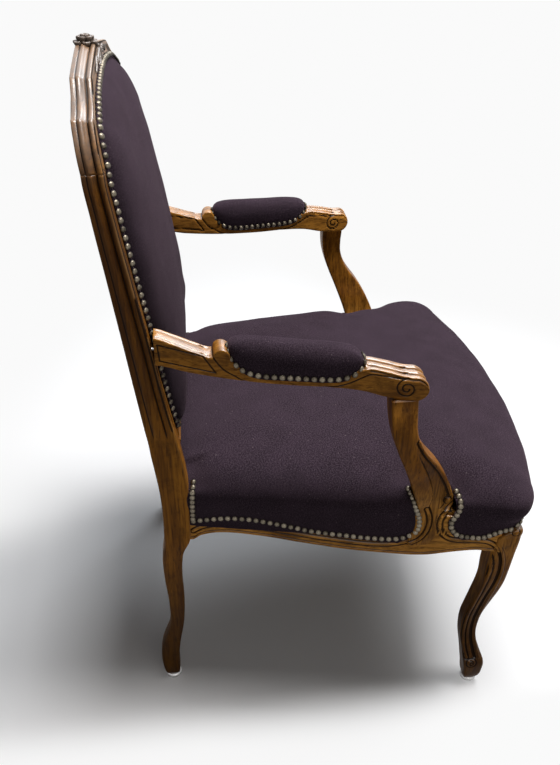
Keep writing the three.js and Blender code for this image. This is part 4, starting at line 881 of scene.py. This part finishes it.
def front_leg_shape():
    bm = tube([leg_ring(z) for z in steps(330, FOOT_END, RAIL_TOP)])
    knee = follow([[0, 364], [20, 360], [27, 357], [35, 353], [43, 346], [52, 336], [70, 330]])
    middle = Vector((-297, -264, 0))
    for v in bm.verts:
        away = max(v.co.x + 325, v.co.y + 288)
        tucked = smooth(-1, 2.5, v.co.z - knee(away)[0])
        v.co += (middle - v.co.xy.to_3d()).normalized() * 9 * tucked
        outer, front = smooth(-272, -318, v.co.x), smooth(-262, -288, v.co.y)
        v.co.y += 7 * outer * front * smooth(150, 330, v.co.z)
    carve(bm, FRONT_GROOVE, GROOVE)
    carve(bm, FRONT_BEAD, ROUND_BEAD)
    carve(bm, LEG_BEAD, BEAD)
    carve(bm, [(-248.3, 51.5), (-248.4, 51.4)], [(d * 1.45, r) for d, r in BOSS])
    carve(bm, curl(-248.3, 51.5, 5.5, 1.3, 1, 1.2, 1.5), FINE_GROOVE)
    carve(bm, [(-271.4, 359.5), (-271.5, 359.4)], BOSS)
    return bm


pair("cabriole_leg", front_leg_shape(), wood_leg, ["front_leg"], hollows=True)


# Arm supports and armrests

SUPPORT_FOOT, SUPPORT_TALL, SUPPORT_HALF_DEEP = 343, 258.7, 29
SUPPORT_Y, SUPPORT_SWEEP, SUPPORT_X, SUPPORT_SPREAD, SUPPORT_HALF_WIDE = -85, 67, 288, 26, 18
# Share of the height, then forward, deep, out and how much of the corner is cut off
support_line = follow([
    [0, 1, 0.97, 0, 0.3], [0.06, 1, 0.74, 0, 0.34], [0.15, 1, 0.72, 0, 0.4],
    [0.25, 0.97, 0.96, 0.12, 0.5], [0.34, 0.87, 0.97, 0.3, 0.6], [0.45, 0.7, 0.94, 0.5, 0.6],
    [0.56, 0.49, 0.84, 0.75, 0.45], [0.69, 0.2, 0.64, 0.92, 0.3], [0.81, 0.04, 0.59, 1, 0.25],
    [0.91, 0, 0.62, 0.85, 0.22], [1, 0, 0.64, 0.66, 0.2],
])


def support_ring(z):
    forward, deep, out, corner = support_line((z - SUPPORT_FOOT) / SUPPORT_TALL)
    half = deep * SUPPORT_HALF_DEEP + 9 * (1 - smooth(386, 396, z))
    y = SUPPORT_Y - forward * SUPPORT_SWEEP
    upper = smooth(385, 400, z)
    proud = rail_x(y) + lerp(-1, 0.4, smooth(328, 345, z))
    free = SUPPORT_X + out * SUPPORT_SPREAD + SUPPORT_HALF_WIDE
    outer = lerp(proud, max(proud, free), smooth(378, 420, z))
    inner = outer - lerp(15, 36, upper)
    corner *= smooth(388, 400, z)
    notch = max(1.0, corner * 2 * half)
    corners = [Vector((x, at, z)) for x, at in (
        (-outer, y + half), (-outer, y - half + notch), (-outer + notch / 3, y - half), (-inner, y - half),
        (-inner, y + half))]
    return eased(corners, 3.4, [54, 26, 22, 8, 10])


def support_shape():
    bm = tube([support_ring(z) for z in steps(330, 329, 601.7)])
    sunk = [*LEAF_EDGE, (-143, 389), (-154, 392), (-164, 402), *[(y + 2.6, z) for y, z in SUPPORT_BEAD[::-1]]]
    recess(bm, sunk, 4.2, 1.8, lambda z: smooth(384, 424, z) * (1 - smooth(490, 535, z)))
    carve(bm, [spot for spot in SUPPORT_BEAD if spot[1] < 540], BEAD)
    carve(bm, REAR_MOULDING, BEAD)
    carve(bm, FRONT_GROOVE, BEAD)
    carve(bm, [(-167.5, 412), (-167.6, 411.9)], BOSS)
    return bm


pair("arm_support_carved", support_shape(), wood_support, ["arm_support"], hollows=True)


ARM_LONG, ARM_RISE, ARM_BASE = 351.4, 76.0, 602.0
ARM_REAR = back_front(636)
# Middle and width of an armrest at its rear and at its front
ARM_MIDDLES, ARM_WIDTHS = (241, 305), (30, 41)
ROLL_AT, ROLL_UP, ROLL_RADIUS = 88.9, 52, 11
SCROLL_AT, SCROLL_UP, SCROLL_RADIUS = 338.4, 17, 17.6


def arm_share(y):
    """How far forward a place lies along an armrest, from 0 at the rear."""
    return (ARM_REAR - y) / ARM_LONG


def arm_x(y):
    return lerp(*ARM_MIDDLES, arm_share(y))


def arm_half(y):
    return lerp(*ARM_WIDTHS, arm_share(y)) / 2


def arm_outlines():
    """Lower and upper line of an armrest, as (along, up), with as many points each."""
    low = follow([[0, 0.447], [0.14, 0.33], [0.32, 0.23], [0.51, 0.185], [0.65, 0.185], [0.77, 0.145],
                  [0.86, 0.045], [0.92, 0.004], [0.952, 0]])
    rear = follow([[0, 1], [0.075, 0.895], [0.15, 0.763], [0.218, 0.675], [0.2217, 0.684]])
    bed = follow([[0.2843, 0.684], [0.295, 0.59], [0.33, 0.497], [0.5, 0.475], [0.67, 0.475], [0.735, 0.508],
                  [0.768, 0.575]])
    front = follow([[0.768, 0.575], [0.785, 0.592], [0.87, 0.53], [0.935, 0.458], [0.97, 0.451]])
    bottom, top = [], []

    def both(read, start, end, count):
        for t in steps(count, start, end):
            bottom.append((t * ARM_LONG, low(t)[0] * ARM_RISE))
            top.append((t * ARM_LONG, read(t)[0] * ARM_RISE))
    both(rear, 0.003, 0.2217, 64)
    for angle in steps(34, math.pi, 0)[1:-1]:
        along = ROLL_AT + ROLL_RADIUS * math.cos(angle)
        bottom.append((along, low(along / ARM_LONG)[0] * ARM_RISE))
        top.append((along, ROLL_UP + ROLL_RADIUS * math.sin(angle)))
    both(bed, 0.2843, 0.768, 116)
    both(front, 0.773, 0.96, 54)
    for t in steps(30)[1:]:
        for side, first in ((bottom, -90), (top, 81)):
            angle = lerp(first, math.copysign(4, first), t) * math.pi / 180
            side.append((SCROLL_AT + SCROLL_RADIUS * math.cos(angle),
                         SCROLL_UP + SCROLL_RADIUS * math.sin(angle)))
    return bottom, top


def armrest_shape():
    rings = []
    for (low_along, low_up), (top_along, top_up) in zip(*arm_outlines()):
        def spot(side, along, up):
            y = ARM_REAR - along
            return Vector((-arm_x(y) + side * arm_half(y), y, ARM_BASE + up))
        corners = [spot(-1, low_along, low_up), spot(-1, top_along, top_up),
                   spot(1, top_along, top_up), spot(1, low_along, low_up)]
        radius = min(3.0, 0.4 * abs(top_up - low_up) + 0.2)
        rings.append(eased(corners, radius, [36, 30, 12, 12], 4))
    bm = tube(rings)

    def relief(_row, line, spot):
        """Reeds on top of the rear part and round the front scroll."""
        if not 36 < line < 84:
            return 0
        across = (line - 60) / 19.5
        share = arm_share(spot.y)
        if share > 0.75:
            ease = smooth(0.786, 0.8, share)
            curls = math.exp(-(((share - 0.782) * ARM_LONG) ** 2 + ((abs(across) - 0.42) * 16) ** 2) / 9)
            inner, outer = [math.exp(-((abs(across) - at) / wide) ** 2)
                            for at, wide in ((0.34, 0.085), (0.97, 0.08))]
            return 2.6 * curls + ease * (0.8 * math.cos(across * 3 * math.pi) - 2.4 * inner - 1.7 * outer)
        ease = smooth(0.0, 0.02, share) * (1 - smooth(0.2, 0.215, share))
        reed = math.exp(-((abs(across) - 0.62) / 0.07) ** 2)
        return ease * (-1.5 * reed + 0.5 * math.exp(-(across / 0.4) ** 2))
    emboss(bm, relief)
    scroll = curl(-85, 620, 15.5, 1.75, -1, 1.7, 3)
    line = spline([(22, 617), (4, 619), (-12, 625), (-26, 633), (-38, 639), (-56, 637.5), (-76, 635)], 5)
    edge = spline([(168, 660), (161, 647), (151, 635), (138, 627), (126, 620), (112, 616)], 5)
    for facing in ((-1, 0, 0), (1, 0, 0)):
        carve(bm, [(237, 668), (178, 654), (162, 630), (235, 644)], FINE_GROOVE, facing, closed=True)
        carve(bm, edge, FINE_GROOVE, facing)
        carve(bm, [*line, *scroll], FINE_GROOVE, facing)
    return bm


pair("armrest_carved", armrest_shape(), wood_arm, ["armrest"], hollows=True)


# Cloth

def lay_weave(bm, rule):
    """Lays the weave over a piece: the rule gives where each corner lay in the flat cloth, in millimetres."""
    places = bm.loops.layers.uv.new("weave")
    for face in bm.faces:
        for loop in face.loops:
            u, v = rule(loop.vert)
            loop[places].uv = (u * 0.001, v * 0.001)


def skin(rings):
    """A skin through rings, open at the first and drawn together at the last."""
    bm = tube(rings, capped=False)
    row = bm.verts.layers.int["row"]
    rim = [v for v in bm.verts if v[row] == len(rings) - 1]
    middle = sum((v.co for v in rim), Vector()) / len(rim)
    bmesh.ops.pointmerge(bm, verts=rim, merge_co=middle)
    return bm


def lined(made, thick=0.0014):
    """Gives a skin its thickness, inward."""
    wall = made.modifiers.new("thickness", "SOLIDIFY")
    wall.thickness, wall.offset = thick, -1
    return made


def seat_plan():
    """Plan line of the seat, once round, evenly spaced, with the way out at each point."""
    rear = [(-x, REAR_Y) for x in steps(20, 0, 205)]
    flank = [(-rail_x(y), y) for y in steps(60, 195, -240)]
    front = [(-x, front_y(x)) for x in steps(50, BLOCK_INNER, 0)]
    half = [*rear, *arch(rear[-1], (-rail_x(REAR_Y), REAR_Y), flank[0], 10)[1:-1], *flank,
            *arch(flank[-1], (-rail_x(FRONT_Y), FRONT_Y), front[0], 12)[1:-1], *front]
    half = spaced(half, count=281)
    line = [Vector(p) for p in half] + [Vector((-x, y)) for x, y in half[-2:0:-1]]
    out = []
    for i in range(len(line)):
        way = line[(i + 2) % len(line)] - line[i - 2]
        out.append(Vector((way.y, -way.x)).normalized())
    return line, out


REAR_NAILS_AT, KNEE_NAILS_AT, NAILS_OVER_EDGE = 349, 366, 30.5


def nail_level(x, y):
    """Height of the nails round the seat: over the rails, and up over the knees of the front legs."""
    if y > 217:
        return REAR_NAILS_AT
    away = math.hypot(abs(x) - rail_x(FRONT_Y), y - FRONT_Y)
    edge = front_low(x) if y < -274 or abs(x) < BLOCK_INNER else side_low(y)
    return lerp(KNEE_NAILS_AT, edge + NAILS_OVER_EDGE, smooth(24, 66, away))


SEAT_MIDDLE, SEAT_BASE, SEAT_CROWN = Vector((0, -30)), 386.3, 87
# Way up the skin: inward, outward, whether the height is the dome's, its height, rise above the nails
seat_section = follow([
    (0.00, 0, 0.00, 0, 0.00, -6), (0.04, 0, 0.00, 0, 0.00, 0), (0.08, 0, 0.10, 0, 0.00, 7),
    (0.13, 0, 0.30, 0.30, 0.00, 7), (0.18, 0, 0.52, 0.62, 0.00, 5), (0.23, 0, 0.74, 0.92, 0.02, 2),
    (0.28, 0, 0.92, 1, 0.10, 0), (0.33, 0, 1.00, 1, 0.20, 0), (0.38, 0.002, 0.98, 1, 0.295, 0),
    (0.43, 0.012, 0.84, 1, 0.39, 0), (0.48, 0.032, 0.62, 1, 0.48, 0), (0.53, 0.062, 0.38, 1, 0.565, 0),
    (0.58, 0.105, 0.18, 1, 0.65, 0), (0.64, 0.17, 0.05, 1, 0.745, 0), (0.71, 0.27, 0.00, 1, 0.84, 0),
    (0.80, 0.43, 0.00, 1, 0.925, 0), (0.90, 0.70, 0.00, 1, 0.985, 0), (1.00, 0.985, 0.00, 1, 1.00, 0),
])


# Last nails beside the wood, where the cloth is drawn in, then the cloth's edge round a support, as (y, z)
DRAWN_IN = [(-112, 436), (-178, 436), (200, 434)]
SUPPORT_NOTCH = [
    (-96, 326), (-106, 334.5), (-121, 341.5), (-130, 349), (-133.5, 360), (-133.5, 374), (-131, 388),
    (-126, 402), (-122, 415), (-117, 434), (-128, 446), (-150, 450), (-168, 444), (-172.5, 430),
    (-177.5, 418), (-179.5, 404), (-176.5, 391), (-170.5, 377), (-172, 361), (-182.5, 347), (-196, 341),
    (-204, 326),
]


def seat_pull(p):
    """1 where the stuffed edge swells freely, 0 where it is drawn in beside a post or a support."""
    if not (abs(p.x) > rail_x(p.y) - 26 and p.y > -261):
        return 1
    return smooth(-10, 42, min(208 - p.y, abs(p.y + 152) - 29))


def seat_shape():
    line, out = seat_plan()
    pulls = np.array([seat_pull(p) for p in line])
    for _ in range(60):
        pulls = (np.roll(pulls, 1) + 2 * pulls + np.roll(pulls, -1)) / 4
    rings = []
    for t in steps(84):
        inward, outward, dome, up, rise = seat_section(t)
        ring = []
        for p, n, pull in zip(line, out, pulls):
            swell = lerp(7, 13, smooth(-235, -275, p.y)) * outward * pull
            spot = p.lerp(SEAT_MIDDLE, inward) + n * (1.7 * (1 - inward) + swell)
            sink = 0.3 * (1 - pull) * (1 - inward) ** 6 * smooth(0.3, 0.5, up)
            z = lerp(nail_level(p.x, p.y), SEAT_BASE + up * (1 - sink) * SEAT_CROWN, dome) + rise
            ring.append(Vector((spot.x, spot.y, z)))
        rings.append(ring)
    bm = skin(rings)

    def flat(v):
        drop = max(0.0, 440 - v.co.z)
        away = (v.co.xy - SEAT_MIDDLE).normalized()
        return v.co.x + away.x * drop, v.co.y + away.y * drop
    lay_weave(bm, flat)

    def relief(row, _line, spot):
        slack = smooth(0.1, 0.3, row / 83)
        gentle = noise.noise(spot * 0.011) * 2.0 + noise.noise(spot * 0.035 + Vector((9, 3, 1))) * 0.5
        drawn = sum(math.exp(-((spot.y - y) ** 2 + (spot.z - z) ** 2) / 420) for y, z in DRAWN_IN)
        return slack * gentle - 6 * drawn * (abs(spot.x) > 200)
    emboss(bm, relief)
    trim(bm, SUPPORT_NOTCH, 281)
    return bm


seat = lined(piece("seat_cushion", seat_shape(), wool,
                   ["seat_cover", "seat_stuffing", "seat_hessian"]))


BACK_HALF, BACK_TALL, BACK_FOOT = 212, 458, 514
BACK_MIDDLE = Vector((0, 220))


def back_plan():
    """Outline of the back's pad, once round, as (x, height above its foot)."""
    rim = spline([
        (0.95, 0), (0.99, 0.02), (1, 0.06), (1.005, 0.2), (1.01, 0.33), (1.01, 0.55), (0.995, 0.72),
        (0.965, 0.82), (0.93, 0.868), (0.87, 0.903), (0.74, 0.927), (0.59, 0.95), (0.45, 0.962), (0.2, 0.974),
        (0, 0.978),
    ])
    half = spaced([(x * BACK_HALF, z * BACK_TALL) for x, z in [(0, 0), (0.4, 0), (0.8, 0), *rim]], count=201)
    return [Vector((-x, z)) for x, z in half] + [Vector((x, z)) for x, z in half[-2:0:-1]]


def back_spot(p, grow, face, stand, share=1.0):
    """A place on the back's front or rear: its outline drawn in by a share, grown, and stood off."""
    away = p - BACK_MIDDLE
    spot = BACK_MIDDLE + away * ((share * away.length + grow) / away.length)
    z = BACK_FOOT + spot.y
    return Vector((spot.x, face(z) + stand, z))


def back_pad_shape():
    line = back_plan()
    rows = [(1, 12.2, 0.4), (1, 12.4, 1.3), (1, 11.6, 1.9), (1, 9.5, 2.0), (1, 7, 1.9), (1, 4.5, 1.8),
            (1, 2.6, 2.0), (1, 1.7, 3.2)]
    for k in range(1, 35):
        share = max(1 - (k / 34) ** 1.9, 0.012)
        rows.append((share, 1.7 * share, 1.7 + 36 * math.sqrt(1 - share ** 3)))
    rings = []
    for share, grow, stand in rows:
        flatter = 0.1 * smooth(0.3, 1, share) * (stand > 4)
        depths = [-stand * (1 - flatter * smooth(330, BACK_TALL, p.y)) for p in line]
        rings.append([back_spot(p, grow, back_front, depth, share) for p, depth in zip(line, depths)])
    bm = skin(rings)

    def flat(v):
        away = Vector((v.co.x, v.co.z - BACK_FOOT - BACK_MIDDLE.y))
        drop = max(0.0, back_front(v.co.z) - v.co.y)
        reach = away.normalized() * (37 - min(37, drop)) if away.length > 1 else Vector((0, 0))
        return v.co.x + reach.x, v.co.z + reach.y
    lay_weave(bm, flat)

    def relief(row, _line, spot):
        return smooth(8, 16, row) * (noise.noise(spot * 0.012) * 2.2 + noise.noise(spot * 0.04) * 0.4)
    emboss(bm, relief)
    return bm


back_pad = lined(piece("back_cushion", back_pad_shape(), wool_shaded_low,
                       ["back_cover", "back_stuffing"]))


def outside_back_shape():
    """Cover over the rear of the back, drawn tight."""
    line = back_plan()
    rows = [(1, 12.2, 0.4), (1, 12.4, 1.2), (1, 11.4, 1.8), (1, 6, 1.8), (1, 1, 1.8)]
    rows += [(max(0.012, 1 - k / 24), 0, 1.8 - 3.5 * math.sin(k / 24 * math.pi / 2)) for k in range(1, 25)]
    rings = [[back_spot(p, grow, back_rear, stand, share) for p in line] for share, grow, stand in rows]
    bm = skin(rings)
    lay_weave(bm, lambda v: (v.co.x, v.co.z))
    return bm


outside_back = lined(piece("outside_back_cloth", outside_back_shape(), wool,
                           ["back_outside_cover"]), 0.0012)


PAD_AT, PAD_HALF_LONG, PAD_BED = 185, 88, 35.2
# Up the arm pad: share of its height, length, width, swell
pad_section = follow([
    (0, 0, 1, 1, 0), (0.12, 0.12, 1, 1, 0.2), (0.3, 0.34, 0.99, 1, 2.0), (0.48, 0.6, 0.955, 0.98, 2.6),
    (0.64, 0.8, 0.87, 0.86, 2.2), (0.78, 0.92, 0.73, 0.66, 1.0), (0.9, 0.985, 0.48, 0.36, 0),
    (1, 1, 0.01, 0.01, 0),
])


def pad_plan(angle):
    """A place on an arm pad's outline, which is an oblong with rounded corners: shares along and across."""
    c, s = math.cos(angle), math.sin(angle)
    return math.copysign(abs(c) ** 0.42, c), math.copysign(abs(s) ** 0.5, s)


def pad_hem(c):
    """Height of the arm pad's lower edge over its bed: below it along the sides, above it at the two ends."""
    return lerp(-13, 12 if c > 0 else 20, abs(c) ** 6)


def arm_pad_shape():
    rings = []
    for t in steps(48):
        share, long, wide, swell = pad_section(t)
        ring = []
        for k in range(128):
            c, s = pad_plan(k / 128 * math.tau)
            along = PAD_AT + PAD_HALF_LONG * c * long
            y = ARM_REAR - along
            side = s * (arm_half(y) + 1.7 + swell) * wide
            top = 42 - 9 * (along - 100) / 176
            ring.append(Vector((-arm_x(y) + side, y, ARM_BASE + PAD_BED + lerp(pad_hem(c), top, share))))
        rings.append(ring)
    bm = skin(rings)

    def flat(v):
        side = v.co.x + arm_x(v.co.y)
        drop = max(0.0, ARM_BASE + 72 - v.co.z)
        return side + math.copysign(drop, side), v.co.y
    lay_weave(bm, flat)

    def relief(row, _line, spot):
        return smooth(12, 20, row) * noise.noise(spot * 0.03) * 0.7
    emboss(bm, relief)
    return bm


pads = pair("arm_cushion", arm_pad_shape(), wool, ["arm_pad_cover", "arm_pad_stuffing"])
for pad in pads:
    lined(pad)


# Nails

NAIL_RADIUS, PITCH, BACK_PITCH = 4.8, 10.6, 11.4


def nail_heads(name, spots, node, pick, tall=3.9):
    """Domed nail heads in one row, each on its place with the way out of it."""
    def facing(way):
        return way.to_track_quat("Z", "Y").to_matrix().to_4x4()
    bm = bmesh.new()
    tone = bm.verts.layers.float.new("tone")
    for i, (place, out) in enumerate(spots):
        made = bmesh.ops.create_uvsphere(bm, u_segments=10, v_segments=8, radius=1)["verts"]
        low = [v for v in made if v.co.z < -0.05]
        bmesh.ops.delete(bm, geom=low, context="VERTS")
        made = [v for v in made if v.is_valid]
        rim = [e for e in bm.edges if e.is_boundary]
        bmesh.ops.contextual_create(bm, geom=rim)
        wobble = noise.noise(Vector((i * 1.7, pick * 3.1, 0.4)))
        for v in made:
            # The tone grows up the dome: a painted highlight on top and painted shade at the rim, with a little
            # difference for each nail.
            v[tone] = 0.15 + 0.7 * v.co.z + 0.5 * wobble
            v.co = Vector((v.co.x * NAIL_RADIUS, v.co.y * NAIL_RADIUS, v.co.z * (tall + 0.4 * wobble)))
        lean = Vector((wobble * 0.12, noise.noise(Vector((i * 2.3, pick, 7))) * 0.12, 1)).normalized()
        bmesh.ops.transform(bm, matrix=Matrix.Translation(place) @ facing(out) @ facing(lean), verts=made)
    bmesh.ops.recalc_face_normals(bm, faces=bm.faces)
    piece(name, bm, brass, [node])


def nails_on(made):
    """A rule that seats nails on a piece.

    Each place, given with its way out, moves to what a ray from outside meets; where it meets nothing, there is
    no nail.
    """
    tree = BVHTree.FromPolygons([TO_FRAME.inverted() @ v.co for v in made.data.vertices],
                                [p.vertices for p in made.data.polygons])

    def seated(places):
        spots = []
        for place, out in places:
            place, out = Vector(place), Vector(out)
            spot, normal, _, _ = tree.ray_cast(place + out * 60, out * -1)
            if spot is not None:
                normal = normal if normal.dot(out) > 0 else normal * -1
                spots.append((spot + normal * 0.1, normal.lerp(out, 0.4).normalized()))
        return spots
    return seated


def mirrored(spots):
    return [(Vector((-p.x, p.y, p.z)), Vector((-n.x, n.y, n.z))) for p, n in spots]


def both_sides(name, spots, node, pick):
    """A row of nails on the right, and its mirror image on the left."""
    nail_heads(f"{name}_right", spots, f"{node}_right", pick)
    nail_heads(f"{name}_left", mirrored(spots), f"{node}_left", pick + 1)


def beside(run):
    """Places on the seat's right side over a run of (y, z), for nails seen from the near side and above."""
    return [((-rail_x(y), y, z), (-0.848, 0.094, 0.521)) for y, z in run]


on_seat = nails_on(seat)
post_run = spaced([(202.5, 428), (203, 408), (204, 382), (204.5, 361)], 8.6)
flank_run = spaced(spline([
    (204, 357), (190, 360), (164, 364.5), (142, 366), (119, 365), (97, 361.5), (75, 357), (52, 352), (30, 347),
    (7, 344), (-15, 342), (-38, 339.5), (-60, 338), (-85, 337.5), (-104, 340), (-117, 346),
]), 10.4)
leaf_run = spaced(spline([
    (-125, 353), (-128.5, 361), (-129, 372), (-127, 384), (-122, 398), (-118, 412), (-111, 431),
]), 7.2)
both_sides("side_nails", on_seat(beside(post_run + flank_run + leaf_run)), "seat_nails", 1)

knee_run = spaced(spline([
    (-180, 430), (-184, 418), (-185, 404), (-182, 391), (-176, 377), (-177, 363), (-186, 351.5), (-200, 348),
    (-220, 347), (-232, 351.5), (-243, 358), (-254, 362.5), (-264, 364.5),
]), 8.4)
front_line = [(p.x, p.y, nail_level(p.x, p.y), n.x, n.y) for p, n in zip(*seat_plan())
              if p.x <= 0 and p.y < -272]
front_half = on_seat([((x, y, z), (a, b, 0)) for x, y, z, a, b in spaced(front_line, PITCH)])
KNEE_COUNT = 3
knee_nails, front_nails = front_half[:KNEE_COUNT], front_half[KNEE_COUNT:]
both_sides("knee_nails", on_seat(beside(knee_run)) + knee_nails, "seat_nails_corner", 3)
nail_heads("front_nails", front_nails + mirrored(front_nails[:-1]), "seat_nails_front", 5)
rear_run = spaced([(-204, REAR_Y, REAR_NAILS_AT), (204, REAR_Y, REAR_NAILS_AT)], PITCH)
nail_heads("rear_nails", on_seat([(spot, (0, 1, 0)) for spot in rear_run]), "seat_nails_rear", 6)


def back_nail_run(face, way, grow, stand, lean):
    """Nails once round the back, on one of its two faces, leaning outward."""
    line = back_plan()
    heads = []
    for x, _, z in spaced([back_spot(p, grow, face, 0) for p in [*line, line[0]]], BACK_PITCH)[:-1]:
        away = Vector((x, 0, z - BACK_FOOT - BACK_MIDDLE.y)).normalized()
        out = (Vector((0, way, -0.15 * way)) + away * lean).normalized()
        heads.append((Vector((x, face(z) + way * stand, z)), out))
    return heads


nail_heads("back_nails", back_nail_run(back_front, -1, 10.2, 2.6, 1.5), "back_nails_front", 7)
nail_heads("outside_back_nails", back_nail_run(back_rear, 1, 3, 1.7, 0), "back_nails_rear", 8, 1.9)

on_pad = nails_on(pads[0])


def arm_nail_run(side):
    """Nails along one side of an arm pad and round its two ends to the middle."""
    line = []
    for k in range(161):
        c, s = pad_plan(k / 160 * math.pi)
        y = ARM_REAR - PAD_AT - PAD_HALF_LONG * c
        line.append((-arm_x(y) + side * s * arm_half(y), y, ARM_BASE + PAD_BED + pad_hem(c) + 5.5))
    places = []
    for x, y, z in spaced(line, PITCH)[:-1 if side > 0 else None]:
        c = (ARM_REAR - PAD_AT - y) / PAD_HALF_LONG
        places.append(((x, y, z), Vector((side * max(0.0, 1 - abs(c) ** 3), -c ** 3, 0)).normalized()))
    return on_pad(places)


both_sides("arm_outer_nails", arm_nail_run(-1), "arm_nails_outer", 9)
both_sides("arm_inner_nails", arm_nail_run(1), "arm_nails_inner", 11)


# Underneath

def glide_shape(x, y):
    """Domed glide under a foot, turned from its half section."""
    bm = bmesh.new()
    half = [(0, 0), (10, 0), (12, 0.6), (13.2, 2), (13.6, 4), (13.2, 6.4), (12, 8), (10, 8.8), (0, 8.8)]
    line = [bm.verts.new((r, 0, z)) for r, z in half]
    edges = [bm.edges.new(ends) for ends in zip(line[:-1], line[1:])]
    bmesh.ops.spin(bm, geom=line + edges, cent=(0, 0, 0), axis=(0, 0, 1), angle=math.tau, steps=32,
                   use_merge=True)
    bmesh.ops.remove_doubles(bm, verts=bm.verts, dist=0.01)
    bmesh.ops.recalc_face_normals(bm, faces=bm.faces)
    bmesh.ops.translate(bm, vec=(x, y, 0), verts=bm.verts)
    return bm


pair("rear_glide", glide_shape(-226.6, 254.5), glide_white, ["glide_rear"])
pair("front_glide", glide_shape(-286, -253), glide_white, ["glide_front"])


def dust_cloth_shape():
    """Black cloth under the seat, tacked to the rails and sagging a little between them."""
    line, _ = seat_plan()
    rings = []
    for share in steps(22, 1, 0.012):
        ring = []
        for p in line[::4]:
            spot = SEAT_MIDDLE.lerp(p - (p - SEAT_MIDDLE).normalized() * 17, share)
            ring.append(Vector((spot.x, spot.y, 336 - 5 * (1 - share ** 3))))
        rings.append(ring)
    bm = skin(rings)
    lay_weave(bm, lambda v: (v.co.x, v.co.y))
    return bm


dust_cloth = lined(piece("dust_cloth", dust_cloth_shape(), cambric, ["dust_cover"]), 0.0008)


# Inner pieces keep the solids' shapes
for node, finish in {
    "seat_webbing": jute, "back_webbing": jute, "corner_block": raw_beech, "corner_screw": zinc_steel,
    "arm_screw": zinc_steel, "seat_spring": blued_steel,
}.items():
    for name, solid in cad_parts.items():
        if name.startswith(node):
            solid.data.materials.clear()
            solid.data.materials.append(finish.material)


# Floor, light and camera

floor_mesh = bpy.data.meshes.new("floor")
bm = bmesh.new()
bmesh.ops.create_grid(bm, x_segments=2, y_segments=2, size=14)
bm.to_mesh(floor_mesh)
bm.free()
floor = bpy.data.objects.new("floor", floor_mesh)
bpy.context.scene.collection.objects.link(floor)


def shows_background(nodes):
    """Over 0 for what the camera sees, straight or in a gloss or a glass; 0 for the light between things."""
    straight, gloss, glass = (nodes.node("ShaderNodeLightPath", out=f"Is {ray} Ray")
                              for ray in ("Camera", "Glossy", "Transmission"))
    return straight + gloss + glass


ground = Finish("pale floor", Roughness=0.9, Specular_IOR_Level=0.1)
ground_spot = ground.place()
radius = ground.node("ShaderNodeVectorMath", {"operation": "LENGTH"}, {0: ground_spot}, out="Value")
leftward, rearward = [ground.part(ground_spot, axis) for axis in (0, 1)]
seen = shows_background(ground)
# The floor glows white far away, as a plain backdrop; the same glow is painted into the shadow on the near
# side, at the far corner behind and in front, as painted light that lightens it.
backdrop_and_painted_light = radius.between(0.8, 1.9) + leftward.between(-0.27, -0.4) * 0.75
backdrop_and_painted_light = backdrop_and_painted_light + rearward.between(0.3, 0.75) * leftward.between(0.0, 0.25) * 0.75
backdrop_and_painted_light = backdrop_and_painted_light + rearward.between(0.0, -0.4) * 0.45
ground.feed("Base Color", ground.mixed(seen, paint("#767678"), paint("#f8f8f9")))
glow = ground.node("ShaderNodeEmission", None, {"Color": paint("#fafafa"), "Strength": 1.0})
lit = Value(ground, ground.shader.outputs[0])
whole = ground.node("ShaderNodeMixShader", None, {0: backdrop_and_painted_light.between(0.0, 1.0) * seen, 1: lit, 2: glow})
ground.links.new(whole.socket, ground.nodes["Material Output"].inputs["Surface"])
floor_mesh.materials.append(ground.material)

world = bpy.data.worlds.new("studio")
bpy.context.scene.world = world
sky = Nodes(world, "Background")
sky.shader.inputs["Color"].default_value = (0.99, 0.98, 1.0, 1)
SKY_SEEN, SKY_LIGHT = 0.97, 0.075
sky.feed("Strength", shows_background(sky).between(0.0, 1.0) * (SKY_SEEN - SKY_LIGHT) + SKY_LIGHT)


def lamp(name, place, target, size, watts, tint=(1, 1, 1)):
    light = bpy.data.lights.new(name, "AREA")
    light.shape, light.size, light.size_y = "RECTANGLE", *size
    light.energy, light.color = watts, tint
    made = bpy.data.objects.new(name, light)
    made.location = place
    made.rotation_euler = (Vector(target) - Vector(place)).to_track_quat("-Z", "Y").to_euler()
    bpy.context.scene.collection.objects.link(made)


lamp("overhead", (0.0, -0.6, 3.2), (0.0, 0.0, 0.2), (1.1, 1.8), 118, (1.0, 0.99, 0.98))
lamp("far_window", (2.2, -0.9, 2.7), (-0.2, -0.1, 0.5), (1.5, 1.1), 36, (0.88, 0.94, 1.0))
lamp("near_fill", (-2.6, -0.5, 0.95), (0.0, 0.0, 0.5), (1.9, 1.0), 7.5, (1.0, 0.94, 0.85))

# The camera as found from the photo: its place, its focal length and the picture's height in pixels, the
# sensor, and how it is turned
CAMERA_AT, FOCAL, PHOTO_TALL, SENSOR = (-1.22896, 0.187515, 1.20165), 841.865, 765, 36
pitch, yaw, roll = (math.radians(a) for a in (31.5548, 6.2913, 0.3229))
ahead = Vector((math.cos(pitch) * math.cos(yaw), -math.cos(pitch) * math.sin(yaw), -math.sin(pitch)))
sideways = ahead.cross(Vector((0, 0, 1))).normalized()
upright = sideways.cross(ahead)
across = sideways * math.cos(roll) + upright * math.sin(roll)
above = upright * math.cos(roll) - sideways * math.sin(roll)
camera_data = bpy.data.cameras.new("camera")
camera_data.sensor_width, camera_data.lens = SENSOR, FOCAL / PHOTO_TALL * SENSOR
camera = bpy.data.objects.new("camera", camera_data)
turned = Matrix((across, above, -ahead)).transposed().to_4x4()
camera.matrix_world = Matrix.Translation(CAMERA_AT) @ turned
bpy.context.scene.collection.objects.link(camera)
bpy.context.scene.camera = camera
bpy.context.scene.view_settings.view_transform = "Standard"
